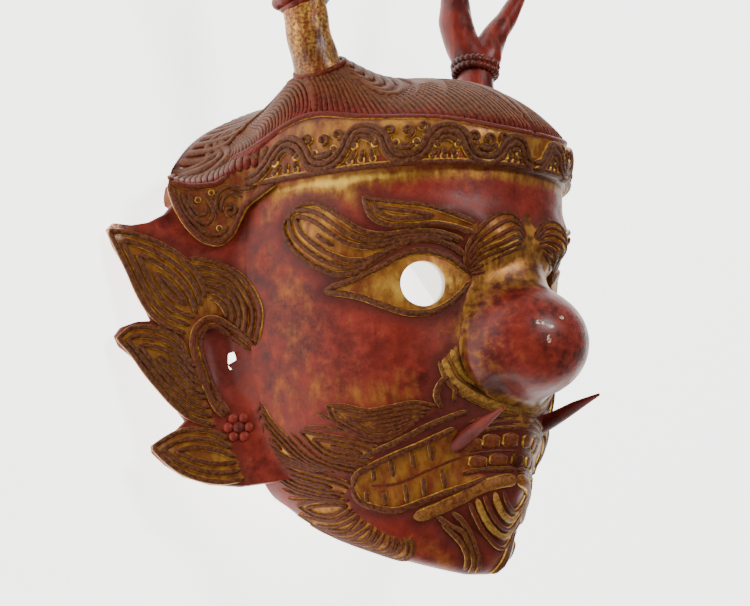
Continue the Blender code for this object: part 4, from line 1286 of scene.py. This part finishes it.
def ear_wall(sizes, way, lines):
    """An ear: ribs fanned from its root to its outline, dished in front, flat behind, with a round edge."""
    table = np.array(EAR_OUTLINE, float)
    run = np.concatenate([[0], np.cumsum(np.hypot(*np.diff(table[:, :2], axis=0).T))])
    even = np.linspace(0, run[-1], 300)
    out, up, root_up = [np.interp(even, run, table[:, k]) for k in range(3)]
    root = np.array(EAR_ROOT, float)
    root_out = np.interp(root_up, root[:, 0], root[:, 1])
    share = np.concatenate([np.linspace(0, 0.9, 30), np.linspace(0.915, 1, 9)])
    a = root_out + (out - root_out) * share[:, None]
    b = root_up + (up - root_up) * share[:, None]
    to_edge = np.hypot(out - root_out, up - root_up) * (1 - share[:, None])
    thick = EAR_THICK / 2 * np.sqrt(1 - (1 - np.clip(to_edge / 3.0, 0, 1)) ** 2)
    hole = np.hypot((a - EAR_HOLE[0]) / EAR_HOLE_R[0], (b - EAR_HOLE[1]) / EAR_HOLE_R[1])
    inside = hole < 1
    a = np.where(inside, EAR_HOLE[0] + (a - EAR_HOLE[0]) / np.maximum(hole, 0.05), a)
    b = np.where(inside, EAR_HOLE[1] + (b - EAR_HOLE[1]) / np.maximum(hole, 0.05), b)
    high, on_face = ear_front(a, b, way, ramp(to_edge, 0.0, 5.0))
    rear_high = (high - 2.4) * on_face - thick * (1 - on_face)
    front, back = ear_spot(a, b, way, high - EAR_THICK / 2 + thick), ear_spot(a, b, way, rear_high)
    field = np.zeros(a.shape, bool)
    for left, right, _ in EAR_LEAVES:
        field |= within(a, b, leaf_outline(left, right))
    field |= within(a, b, np.array(EAR_HELIX_FIELD, float))
    close = near_lines(front.reshape(-1, 3), lines, sizes.halo_reach)
    bowl = np.exp(-((a - 5 - 0.16 * (b + 24)) / 11) ** 4 - ((b + 27) / 18) ** 4).ravel()
    gild = 0.14 + 0.46 * field.ravel() - 1.2 * bowl
    rear = ramp(to_edge, 0.0, 3.0).ravel()
    tip = np.exp(-((a - 58) / 4.5) ** 2 - ((b - 38) / 4.5) ** 2).ravel()
    lobe = np.exp(-((a - 35) / 2.5) ** 2 - ((b + 71) / 4) ** 2).ravel()
    chip = np.clip(1.6 * tip + 0.9 * lobe, 0, 1)
    # The ear's bowl is darkened; beside the cords outside the leaves lies patina.
    grime = np.maximum(0.45 * bowl, (1 - field.ravel()) * ramp(close, 0.3, 0.9) * 0.6)
    count = a.size
    faces = grid_faces(*a.shape)[~all_corners(inside).ravel()]
    if way > 0:
        faces = faces[:, ::-1]
    both = [np.concatenate([first, second]) for first, second in
            ((gild, 0.1 * rear), (grime, 0.2 * rear), (chip, chip))]
    return part(np.concatenate([front.reshape(-1, 3), back.reshape(-1, 3)]),
                [faces, faces[:, ::-1] + count, rim_strip(faces, count)],
                gild=both[0], grime=both[1], chip=both[2], inside=0.0)


def bead_flower(ground, a, b, size):
    """A boss with six round petals about it, each a dome turned on the surface."""
    made = []
    here, out = ground.at(a, b)[None], ground.outward(a, b)[None]
    east = unit(np.cross(out, (0.0, 1.0, 0.0)))
    north = np.cross(out, east)
    spots = [(0.0, 0.0, 0.62)]
    spots += [(math.cos(k * math.pi / 3) * size, math.sin(k * math.pi / 3) * size, 0.52) for k in range(6)]
    t, turn = np.meshgrid(np.linspace(0.06, 1, 8) * math.pi * 0.62, np.arange(16) * math.pi / 8,
                          indexing="ij")
    for x, y, radius in spots:
        radius = radius * size
        centre = here + east * x + north * y
        flat = east * np.cos(turn)[..., None] + north * np.sin(turn)[..., None]
        points = centre + flat * (np.sin(t) * radius)[..., None] + out * (np.cos(t) * radius * 0.8)[..., None]
        faces = grid_faces(*t.shape, round_columns=True)
        top, low = np.arange(16), np.arange(16) + 7 * 16
        made.append(part(points, [faces, top[None, ::-1], low[None]], gild=0.0 if x or y else -0.4,
                         grime=0.1 if x or y else 0.9, chip=0.0, inside=0.0))
    return made


def front_heights():
    """A table of the face's front: rows of y and columns of x with the height z of each."""
    y, x = np.meshgrid(np.arange(-90, 66, 3.0), np.arange(-66, 67, 3.0), indexing="ij")
    v = np.interp(y, LEVELS[:, 5], LEVELS[:, 0])
    return x[0], y[:, 0], seen_at(x, y, np.eye(3), np.zeros(3), x / 110.0, v)


def off_centre(points, centre, radii, side=1):
    """Distance of each point from a centre, counted in radii; side -1 takes the centre's mirror image."""
    return np.linalg.norm((points - np.array(centre) * (side, 1, 1)) / np.array(radii, float), axis=-1)


def nose_depth(points, table):
    """Depth of each point under the nose and the face, joined softly, then under the nose alone.

    Both are below 0 outside.
    """
    own = None
    for centre, radii in NOSE_FORMS:
        one = (1 - off_centre(points, centre, radii)) * min(radii)
        own = one if own is None else soft_most(own, one, 5.0)
    face = (between_rows(table, points[..., 0], points[..., 1]) - points[..., 2]) * 0.9
    return soft_most(own, face, 6.0), own


def nose():
    """The nose: along each ray from a seat behind it, the last point inside its forms or the face.

    The point is found by halving; where the face alone is left, the skin sinks just under it.
    """
    turns = np.linspace(0, 2 * math.pi, 145)[:-1]
    limit = 86 - 14 * np.maximum(np.sin(turns), 0) ** 3 - 4 * np.maximum(-np.sin(turns), 0)
    lean = np.linspace(0.02, 1, 64)[:, None] * np.radians(limit)
    turn = turns + 0 * lean
    way = np.stack([np.sin(lean) * np.cos(turn), np.sin(lean) * np.sin(turn), np.cos(lean)], -1)
    table = front_heights()
    low, high = np.full(lean.shape, 4.0), np.full(lean.shape, 90.0)
    for _ in range(22):
        middle = (low + high) / 2
        under = nose_depth(np.array(NOSE_SEAT) + way * middle[..., None], table)[0] > 0
        low, high = np.where(under, middle, low), np.where(under, high, middle)
    points = np.array(NOSE_SEAT) + way * low[..., None]
    own = nose_depth(points, table)[1]
    points = points - way * (1.1 * ramp(-own, 2.0, 9.0) + 3.2 * ramp(lean / lean[-1], 0.88, 1.0))[..., None]
    for side in (-1, 1):
        gap = off_centre(points, *DENT, side)
        points = points - way * (6.5 * np.exp(-gap**2 * 1.1))[..., None]
    # Painted shade: the nostrils, the crease along each wing and the rim where the bulb meets the face are
    # painted dark as if in shadow.
    nostril = sum(np.exp(-off_centre(points, *NOSTRIL, side) ** 2) for side in (-1, 1))
    wing = sum(np.exp(-(off_centre(points, *WING, side) - 1) ** 2 / 0.02) for side in (-1, 1))
    wing = wing * ramp(-own, 0.0, 3.0)
    grime = np.clip(1.3 * nostril + 0.35 * wing, 0, 1)
    bulb = off_centre(points, *NOSE_FORMS[0])
    gild = 0.30 * ramp(-own, 0.6, 4.5) + 0.22 * ramp(points[..., 1], -6, 10) + 0.12
    gild = gild + 0.50 * np.maximum(ramp(bulb, 0.98, 1.18), 0.8 * ramp(np.abs(points[..., 0]), 11, 26)) - 0.24
    grime = np.clip(grime + 0.38 * ramp(bulb, 1.0, 1.2) * ramp(own, -5.0, 0.0), 0, 1)
    chips = sum(np.exp(-off_centre(points, *chip) ** 2) for chip in NOSE_CHIPS)
    faces = grid_faces(len(points), len(turns), round_columns=True)
    tip = np.arange(len(turns))[None, ::-1]
    back = np.arange(len(turns))[None] + (len(points) - 1) * len(turns)
    return part(points, [faces[:, ::-1], tip[:, ::-1], back[:, ::-1]], gild=gild, grime=grime,
                chip=np.clip(chips, 0, 1), inside=0.0)


def tube(path, radii, around=24, ripple=0.0):
    """A closed tube of circles square to the path, with caps at both ends.

    A ripple swells it in three low ribs that wind along it.
    """
    path = np.asarray(path, float)
    along = unit(np.gradient(path, axis=0))
    across = unit(np.cross(along, np.array((0.31, 0.17, 0.93))))
    third = np.cross(along, across)
    turn = np.linspace(0, 2 * math.pi, around + 1)[:-1]
    ring = across[:, None] * np.cos(turn)[:, None] + third[:, None] * np.sin(turn)[:, None]
    swell = 1 + ripple * np.sin(3 * turn + 0.35 * np.arange(len(path))[:, None])
    points = path[:, None] + ring * (np.asarray(radii)[:, None] * swell)[..., None]
    faces = grid_faces(len(path), around, round_columns=True)
    cap = np.arange(around)[None]
    uv = np.stack(np.meshgrid(np.arange(len(path)), turn / (2 * math.pi), indexing="ij"), -1)
    return points, [faces, cap[:, ::-1], cap + (len(path) - 1) * around], uv


def along_curve(marks, radii, count):
    """Points and radii along a smooth curve through the marks."""
    marks = np.asarray(marks, float)
    chord = np.concatenate([[0], np.cumsum(np.linalg.norm(np.diff(marks, axis=0), axis=-1))])
    t = np.linspace(0, chord[-1], count)
    path = np.stack([smooth(t, chord, marks[:, k]) for k in range(3)], -1)
    return path, np.interp(t, chord[-1] * np.linspace(0, 1, len(radii)), radii)


def antler(way):
    """One antler: a beam with a tine and a prong off its stub, and a collar where the branch was set."""
    foot = np.array((way * SEAT_X, SEAT_Y[way], SEAT_Z))
    up = unit(np.array((way * LEAN_OUT, 1.0, -LEAN_BACK)))
    out = np.array((way * 0.8, 0.0, 0.6))
    out = unit(out - up * (out @ up))
    third = np.cross(up, out)
    radius, stub, top = BEAM_R[way], STUB[way], ANTLER_TOP[way]
    fork = stub + 17
    made = []

    def branch(stations, radii, count, around):
        marks = [foot + up * high + out * wide + third * aside for high, wide, aside in stations]
        path, thick = along_curve(marks, radii, count)
        points, faces, uv = tube(path, thick, around, ripple=0.02)
        made.append(part(points, faces, uv, gild=0.12 if way < 0 else 0.0, grime=0.0))

    shift = 3.0 * way if way < 0 else 0.0
    branch(((-18, 0, shift), (2, 0, shift), (stub, 0, 0), (stub + 9, -4, 0), (fork + 4, -9, 0),
            (fork + 25, -11, 0), (top - 22, -8, 0), (top, -2, 0)),
           (radius * 1.02, radius * 0.92, radius * 0.9, radius * 0.86, 6.6, 5.4, 4.2, 1.8), 140, 36)
    branch(((stub - 6, 2, 0), (stub + 6, 4.5, 0), (fork + 2, 9, 0), (fork + 18, 18, 0), (fork + 38, 26, 0),
            (fork + 54, 26, 0)),
           (radius * 0.7, radius * 0.84, 6.4, 5.0, 3.4, 1.6), 90, 30)
    branch(((fork + 20, -9, 0), (fork + 34, -17, 0), (fork + 48, -20, 0)), (5, 3.6, 1.4), 40, 22)
    made += collar(foot, up, out, radius, stub, way)
    return made


def collar(foot, up, out, radius, stub, way):
    """The collar on a stub: a rolled cloth-like band on one antler, a twisted rope on the other."""
    third = np.cross(up, out)
    turn = np.linspace(0, 2 * math.pi, 97)[:-1]
    spin = np.linspace(0, 2 * math.pi, 13)[:-1]
    radial = out * np.cos(turn)[:, None] + third * np.sin(turn)[:, None]
    rolls, depth, strands, lean = COLLAR[way]
    made = []
    for k, (high, reach, thick) in enumerate(rolls):
        centre = foot + up * (stub + high)
        wide = thick * (1 + depth * np.sin(strands * turn + k))
        tilt = lean * np.sin(2 * turn + k)
        points = (centre + radial[:, None] * (radius * reach + wide[:, None] * np.cos(spin))[..., None]
                  + up * (wide[:, None] * np.sin(spin) + tilt[:, None])[..., None])
        made.append(part(points, [grid_faces(96, 12, round_rows=True, round_columns=True)[:, ::-1]],
                         gild=-0.1, grime=0.5 if way > 0 else 0.25))
    return made


def fang(way):
    """A tusk at the corner of the front teeth: a round horn that bends forward and up."""
    path, radii = along_curve(FANG[way], (4.8, 4.0, 2.8, 0.7), 48)
    points, faces, uv = tube(path, radii, 24)
    return part(points, faces, uv, gild=-0.25, grime=0.35, chip=0.0, inside=0.0)


# Settings, operators and panel

class MaskSizes(bpy.types.PropertyGroup):
    wall: FloatProperty(name="Wall", description="Thickness of the papier-mache wall, mm", default=5.0)
    eye_radius: FloatProperty(name="Eye Hole", description="Radius of each eye hole, mm", default=10.8)
    cord_width: FloatProperty(name="Cord Width", description="Width of a putty cord, mm", default=3.1)
    cord_height: FloatProperty(name="Cord Height", description="Height of a putty cord, mm", default=1.9)
    cord_gap: FloatProperty(name="Cord Spacing", description="Distance between nested cords, mm", default=4.7)
    strand_height: FloatProperty(name="Strand Height", description="Height of a hair strand, mm", default=1.7)
    strand_gap: FloatProperty(name="Strand Spacing", description="Distance between strands at the band, mm",
                              default=3.1)
    halo_reach: FloatProperty(name="Grime Reach", description="How far grime lies beside a cord, mm",
                              default=10.0)


class MaskLight(bpy.types.PropertyGroup):
    key: FloatProperty(name="Key Light", description="Power of the soft key light", default=20.0,
                       unit="POWER")
    fill: FloatProperty(name="Fill Light", description="Power of the broad fill light", default=1.6,
                        unit="POWER")
    sky: FloatVectorProperty(name="Sky", description="Colour of the even studio light", subtype="COLOR",
                             default=(1.0, 0.985, 0.96))


LINES = {}
FINISH = {}


def lines_of(sizes):
    """The cords of both halves, computed once and kept for the pieces that need to know where they lie."""
    if not LINES:
        for way in (-1, 1):
            ground = face_ground(way)
            groups = cord_lines(sizes, ground)
            groups["front"] = front_teeth(ground, sizes.cord_width, sizes.cord_height)
            groups["front"].append(line(ground, LIP_ROLL, 6.6, 2.6, gilt=1.25, red=1.0))
            groups["band"] = band_lines(sizes, ground)
            for name, made in groups.items():
                LINES.setdefault(name, []).extend(made)
            LINES["ear" if way < 0 else "far ear"] = ear_lines(sizes, ear_ground(way))
            LINES.setdefault("band", []).extend(flap_lines(sizes, flap_ground(way)))
        LINES["chin"] += goatee_lines(sizes)
    return LINES


def finish_of(name, maker, *values):
    """A material made once and shared."""
    if name not in FINISH:
        FINISH[name] = maker(*values)
    return FINISH[name]


class MASK_OT_shell(bpy.types.Operator):
    """Adds the lacquered face, the crown with its band, and the nose"""
    bl_idname = "mask.shell"
    bl_label = "Face, Crown and Nose"

    def execute(self, context):
        sizes = context.scene.mask_sizes
        lacquer = finish_of("lacquer", lacquer_with_gilding)
        lines = {name: made for name, made in lines_of(sizes).items() if "ear" not in name}
        build("face_shell", [face_shell(sizes, lines)], lacquer, ["mask_shell"],
              sharp=48)
        build("crown_band", [hair_cap(sizes), band_flap(-1), band_flap(1)], lacquer,
              ["mask_shell"], sharp=48)
        build("nose", [nose()], finish_of("nose", nose_lacquer),
              ["mask_shell"])
        return {"FINISHED"}


class MASK_OT_hair(bpy.types.Operator):
    """Adds the combed strands of hair on both halves of the crown"""
    bl_idname = "mask.hair"
    bl_label = "Combed Hair"

    def execute(self, context):
        sizes = context.scene.mask_sizes
        for way, side in ((-1, "right"), (1, "left")):
            build("hair_" + side, hair_strands(sizes, way) + [fringe(way)],
                  finish_of("hair", hair_lacquer), ["mask_shell"])
        return {"FINISHED"}


class MASK_OT_ears(bpy.types.Operator):
    """Adds the two leaf-shaped ears and their bead flowers"""
    bl_idname = "mask.ears"
    bl_label = "Ears"

    def execute(self, context):
        sizes = context.scene.mask_sizes
        lacquer = finish_of("lacquer", lacquer_with_gilding)
        for way, side, group in ((-1, "right", "ear"), (1, "left", "far ear")):
            lines = lines_of(sizes)[group]
            build("ear_" + side, [ear_wall(sizes, way, lines)] + bead_flower(ear_ground(way), *EAR_BEAD, 5.0),
                  lacquer, ["mask_shell"], sharp=50)
        return {"FINISHED"}


class MASK_OT_cords(bpy.types.Operator):
    """Adds the raised putty lines of the face, the band and the ears"""
    bl_idname = "mask.cords"
    bl_label = "Putty Cords"

    def execute(self, context):
        for name, made in lines_of(context.scene.mask_sizes).items():
            build("cords_" + name.replace(" ", "_"), made, finish_of("putty", putty_cord),
                  ["mask_shell"])
        return {"FINISHED"}


class MASK_OT_fangs(bpy.types.Operator):
    """Adds the two tusks"""
    bl_idname = "mask.fangs"
    bl_label = "Tusks"

    def execute(self, context):
        build("fangs", [fang(way) for way in (-1, 1)], finish_of("lacquer", lacquer_with_gilding),
              ["mask_shell"])
        return {"FINISHED"}


class MASK_OT_antlers(bpy.types.Operator):
    """Adds the gilded near antler and the red far one"""
    bl_idname = "mask.antlers"
    bl_label = "Antlers"

    def execute(self, context):
        for way, side, slot, share in ((-1, "right", "gilded_branch", 0.12),
                                       (1, "left", "lacquered_branch", -0.05)):
            build("branch_" + side, antler(way), finish_of(slot, branch_finish, slot, share),
                  ["antler_" + side])
        return {"FINISHED"}


class MASK_OT_stage(bpy.types.Operator):
    """Adds the camera, the paper floor and the soft studio lights"""
    bl_idname = "mask.stage"
    bl_label = "Studio"

    def execute(self, context):
        scene, light = context.scene, context.scene.mask_light
        right, top, back = self.camera_axes()
        target = Vector((LOOK_AT[0], LOOK_AT[1] - ORIGIN_Y, LOOK_AT[2])) / 1000
        look = Matrix((right, top, back)).transposed().to_4x4()
        look.translation = target + back * CAMERA_FAR
        data = bpy.data.cameras.new("photo_camera")
        data.sensor_width, data.lens, data.clip_start = SENSOR_MM, FOCAL / FRAME_WIDE * SENSOR_MM, 0.01
        data.shift_x, data.shift_y = SHIFT[0] / FRAME_WIDE, SHIFT[1] / FRAME_WIDE
        scene.camera = self.stand(scene, data, look)
        power = {"key": light.key, "fill": light.fill, "top": light.fill * TOP_SHARE}
        for name, spot, far, size in LAMPS:
            lamp = bpy.data.lights.new(name, "AREA")
            lamp.shape, lamp.size, lamp.energy = "DISK", size, power[name]
            way = (right * spot[0] + top * spot[1] + back * spot[2]).normalized()
            turn = way.to_track_quat("Z", "Y").to_matrix().to_4x4()
            turn.translation = target + way * far
            self.stand(scene, lamp, turn)
        scene.world = bpy.data.worlds.new("studio")
        scene.world.use_nodes = True
        sky = scene.world.node_tree.nodes["Background"]
        sky.inputs["Color"].default_value = (*light.sky, 1.0)
        sky.inputs["Strength"].default_value = SKY_STRENGTH
        self.floor(scene)
        return {"FINISHED"}

    def camera_axes(self):
        """The camera's right, top and back in the scene."""
        yaw, pitch, roll = [math.radians(angle) for angle in (CAMERA_TURN, CAMERA_PITCH, CAMERA_ROLL)]
        back = Vector((-math.sin(yaw) * math.cos(pitch), math.sin(pitch), math.cos(yaw) * math.cos(pitch)))
        level = Vector((0, 1, 0)).cross(back).normalized()
        rise = back.cross(level)
        right = level * math.cos(roll) - rise * math.sin(roll)
        return right, level * math.sin(roll) + rise * math.cos(roll), back

    def stand(self, scene, data, matrix):
        """Adds a camera or a lamp to the scene at the matrix."""
        obj = bpy.data.objects.new(data.name, data)
        obj.matrix_world = matrix
        scene.collection.objects.link(obj)
        return obj

    def floor(self, scene):
        """The paper sweep: a plain sheet under the mask."""
        mesh = bpy.data.meshes.new("floor")
        corners = [(x * FLOOR_REACH, y * FLOOR_REACH, 0) for x, y in ((-1, -1), (1, -1), (1, 1), (-1, 1))]
        mesh.from_pydata(corners, [], [(0, 1, 2, 3)])
        mesh.materials.append(studio_floor())
        obj = bpy.data.objects.new("floor", mesh)
        scene.collection.objects.link(obj)


class MASK_PT_panel(bpy.types.Panel):
    """Lists the steps that make the mask"""
    bl_idname = "MASK_PT_panel"
    bl_label = "Dance Mask"
    bl_space_type = "VIEW_3D"
    bl_region_type = "UI"
    bl_category = "Dance Mask"

    def draw(self, context):
        layout = self.layout
        for group in (context.scene.mask_sizes, context.scene.mask_light):
            for name in group.__annotations__:
                layout.prop(group, name)
        for step in STEPS:
            layout.operator(step.bl_idname)


STEPS = (MASK_OT_stage, MASK_OT_shell, MASK_OT_hair, MASK_OT_ears, MASK_OT_cords, MASK_OT_fangs,
         MASK_OT_antlers)
CLASSES = (MaskSizes, MaskLight) + STEPS + (MASK_PT_panel,)


def register():
    for item in CLASSES:
        bpy.utils.register_class(item)
    bpy.types.Scene.mask_sizes = PointerProperty(type=MaskSizes)
    bpy.types.Scene.mask_light = PointerProperty(type=MaskLight)


def unregister():
    del bpy.types.Scene.mask_sizes
    del bpy.types.Scene.mask_light
    for item in reversed(CLASSES):
        bpy.utils.unregister_class(item)


def main():
    register()
    for step in STEPS:
        group, name = step.bl_idname.split(".")
        getattr(getattr(bpy.ops, group), name)()


if __name__ == "__main__":
    main()
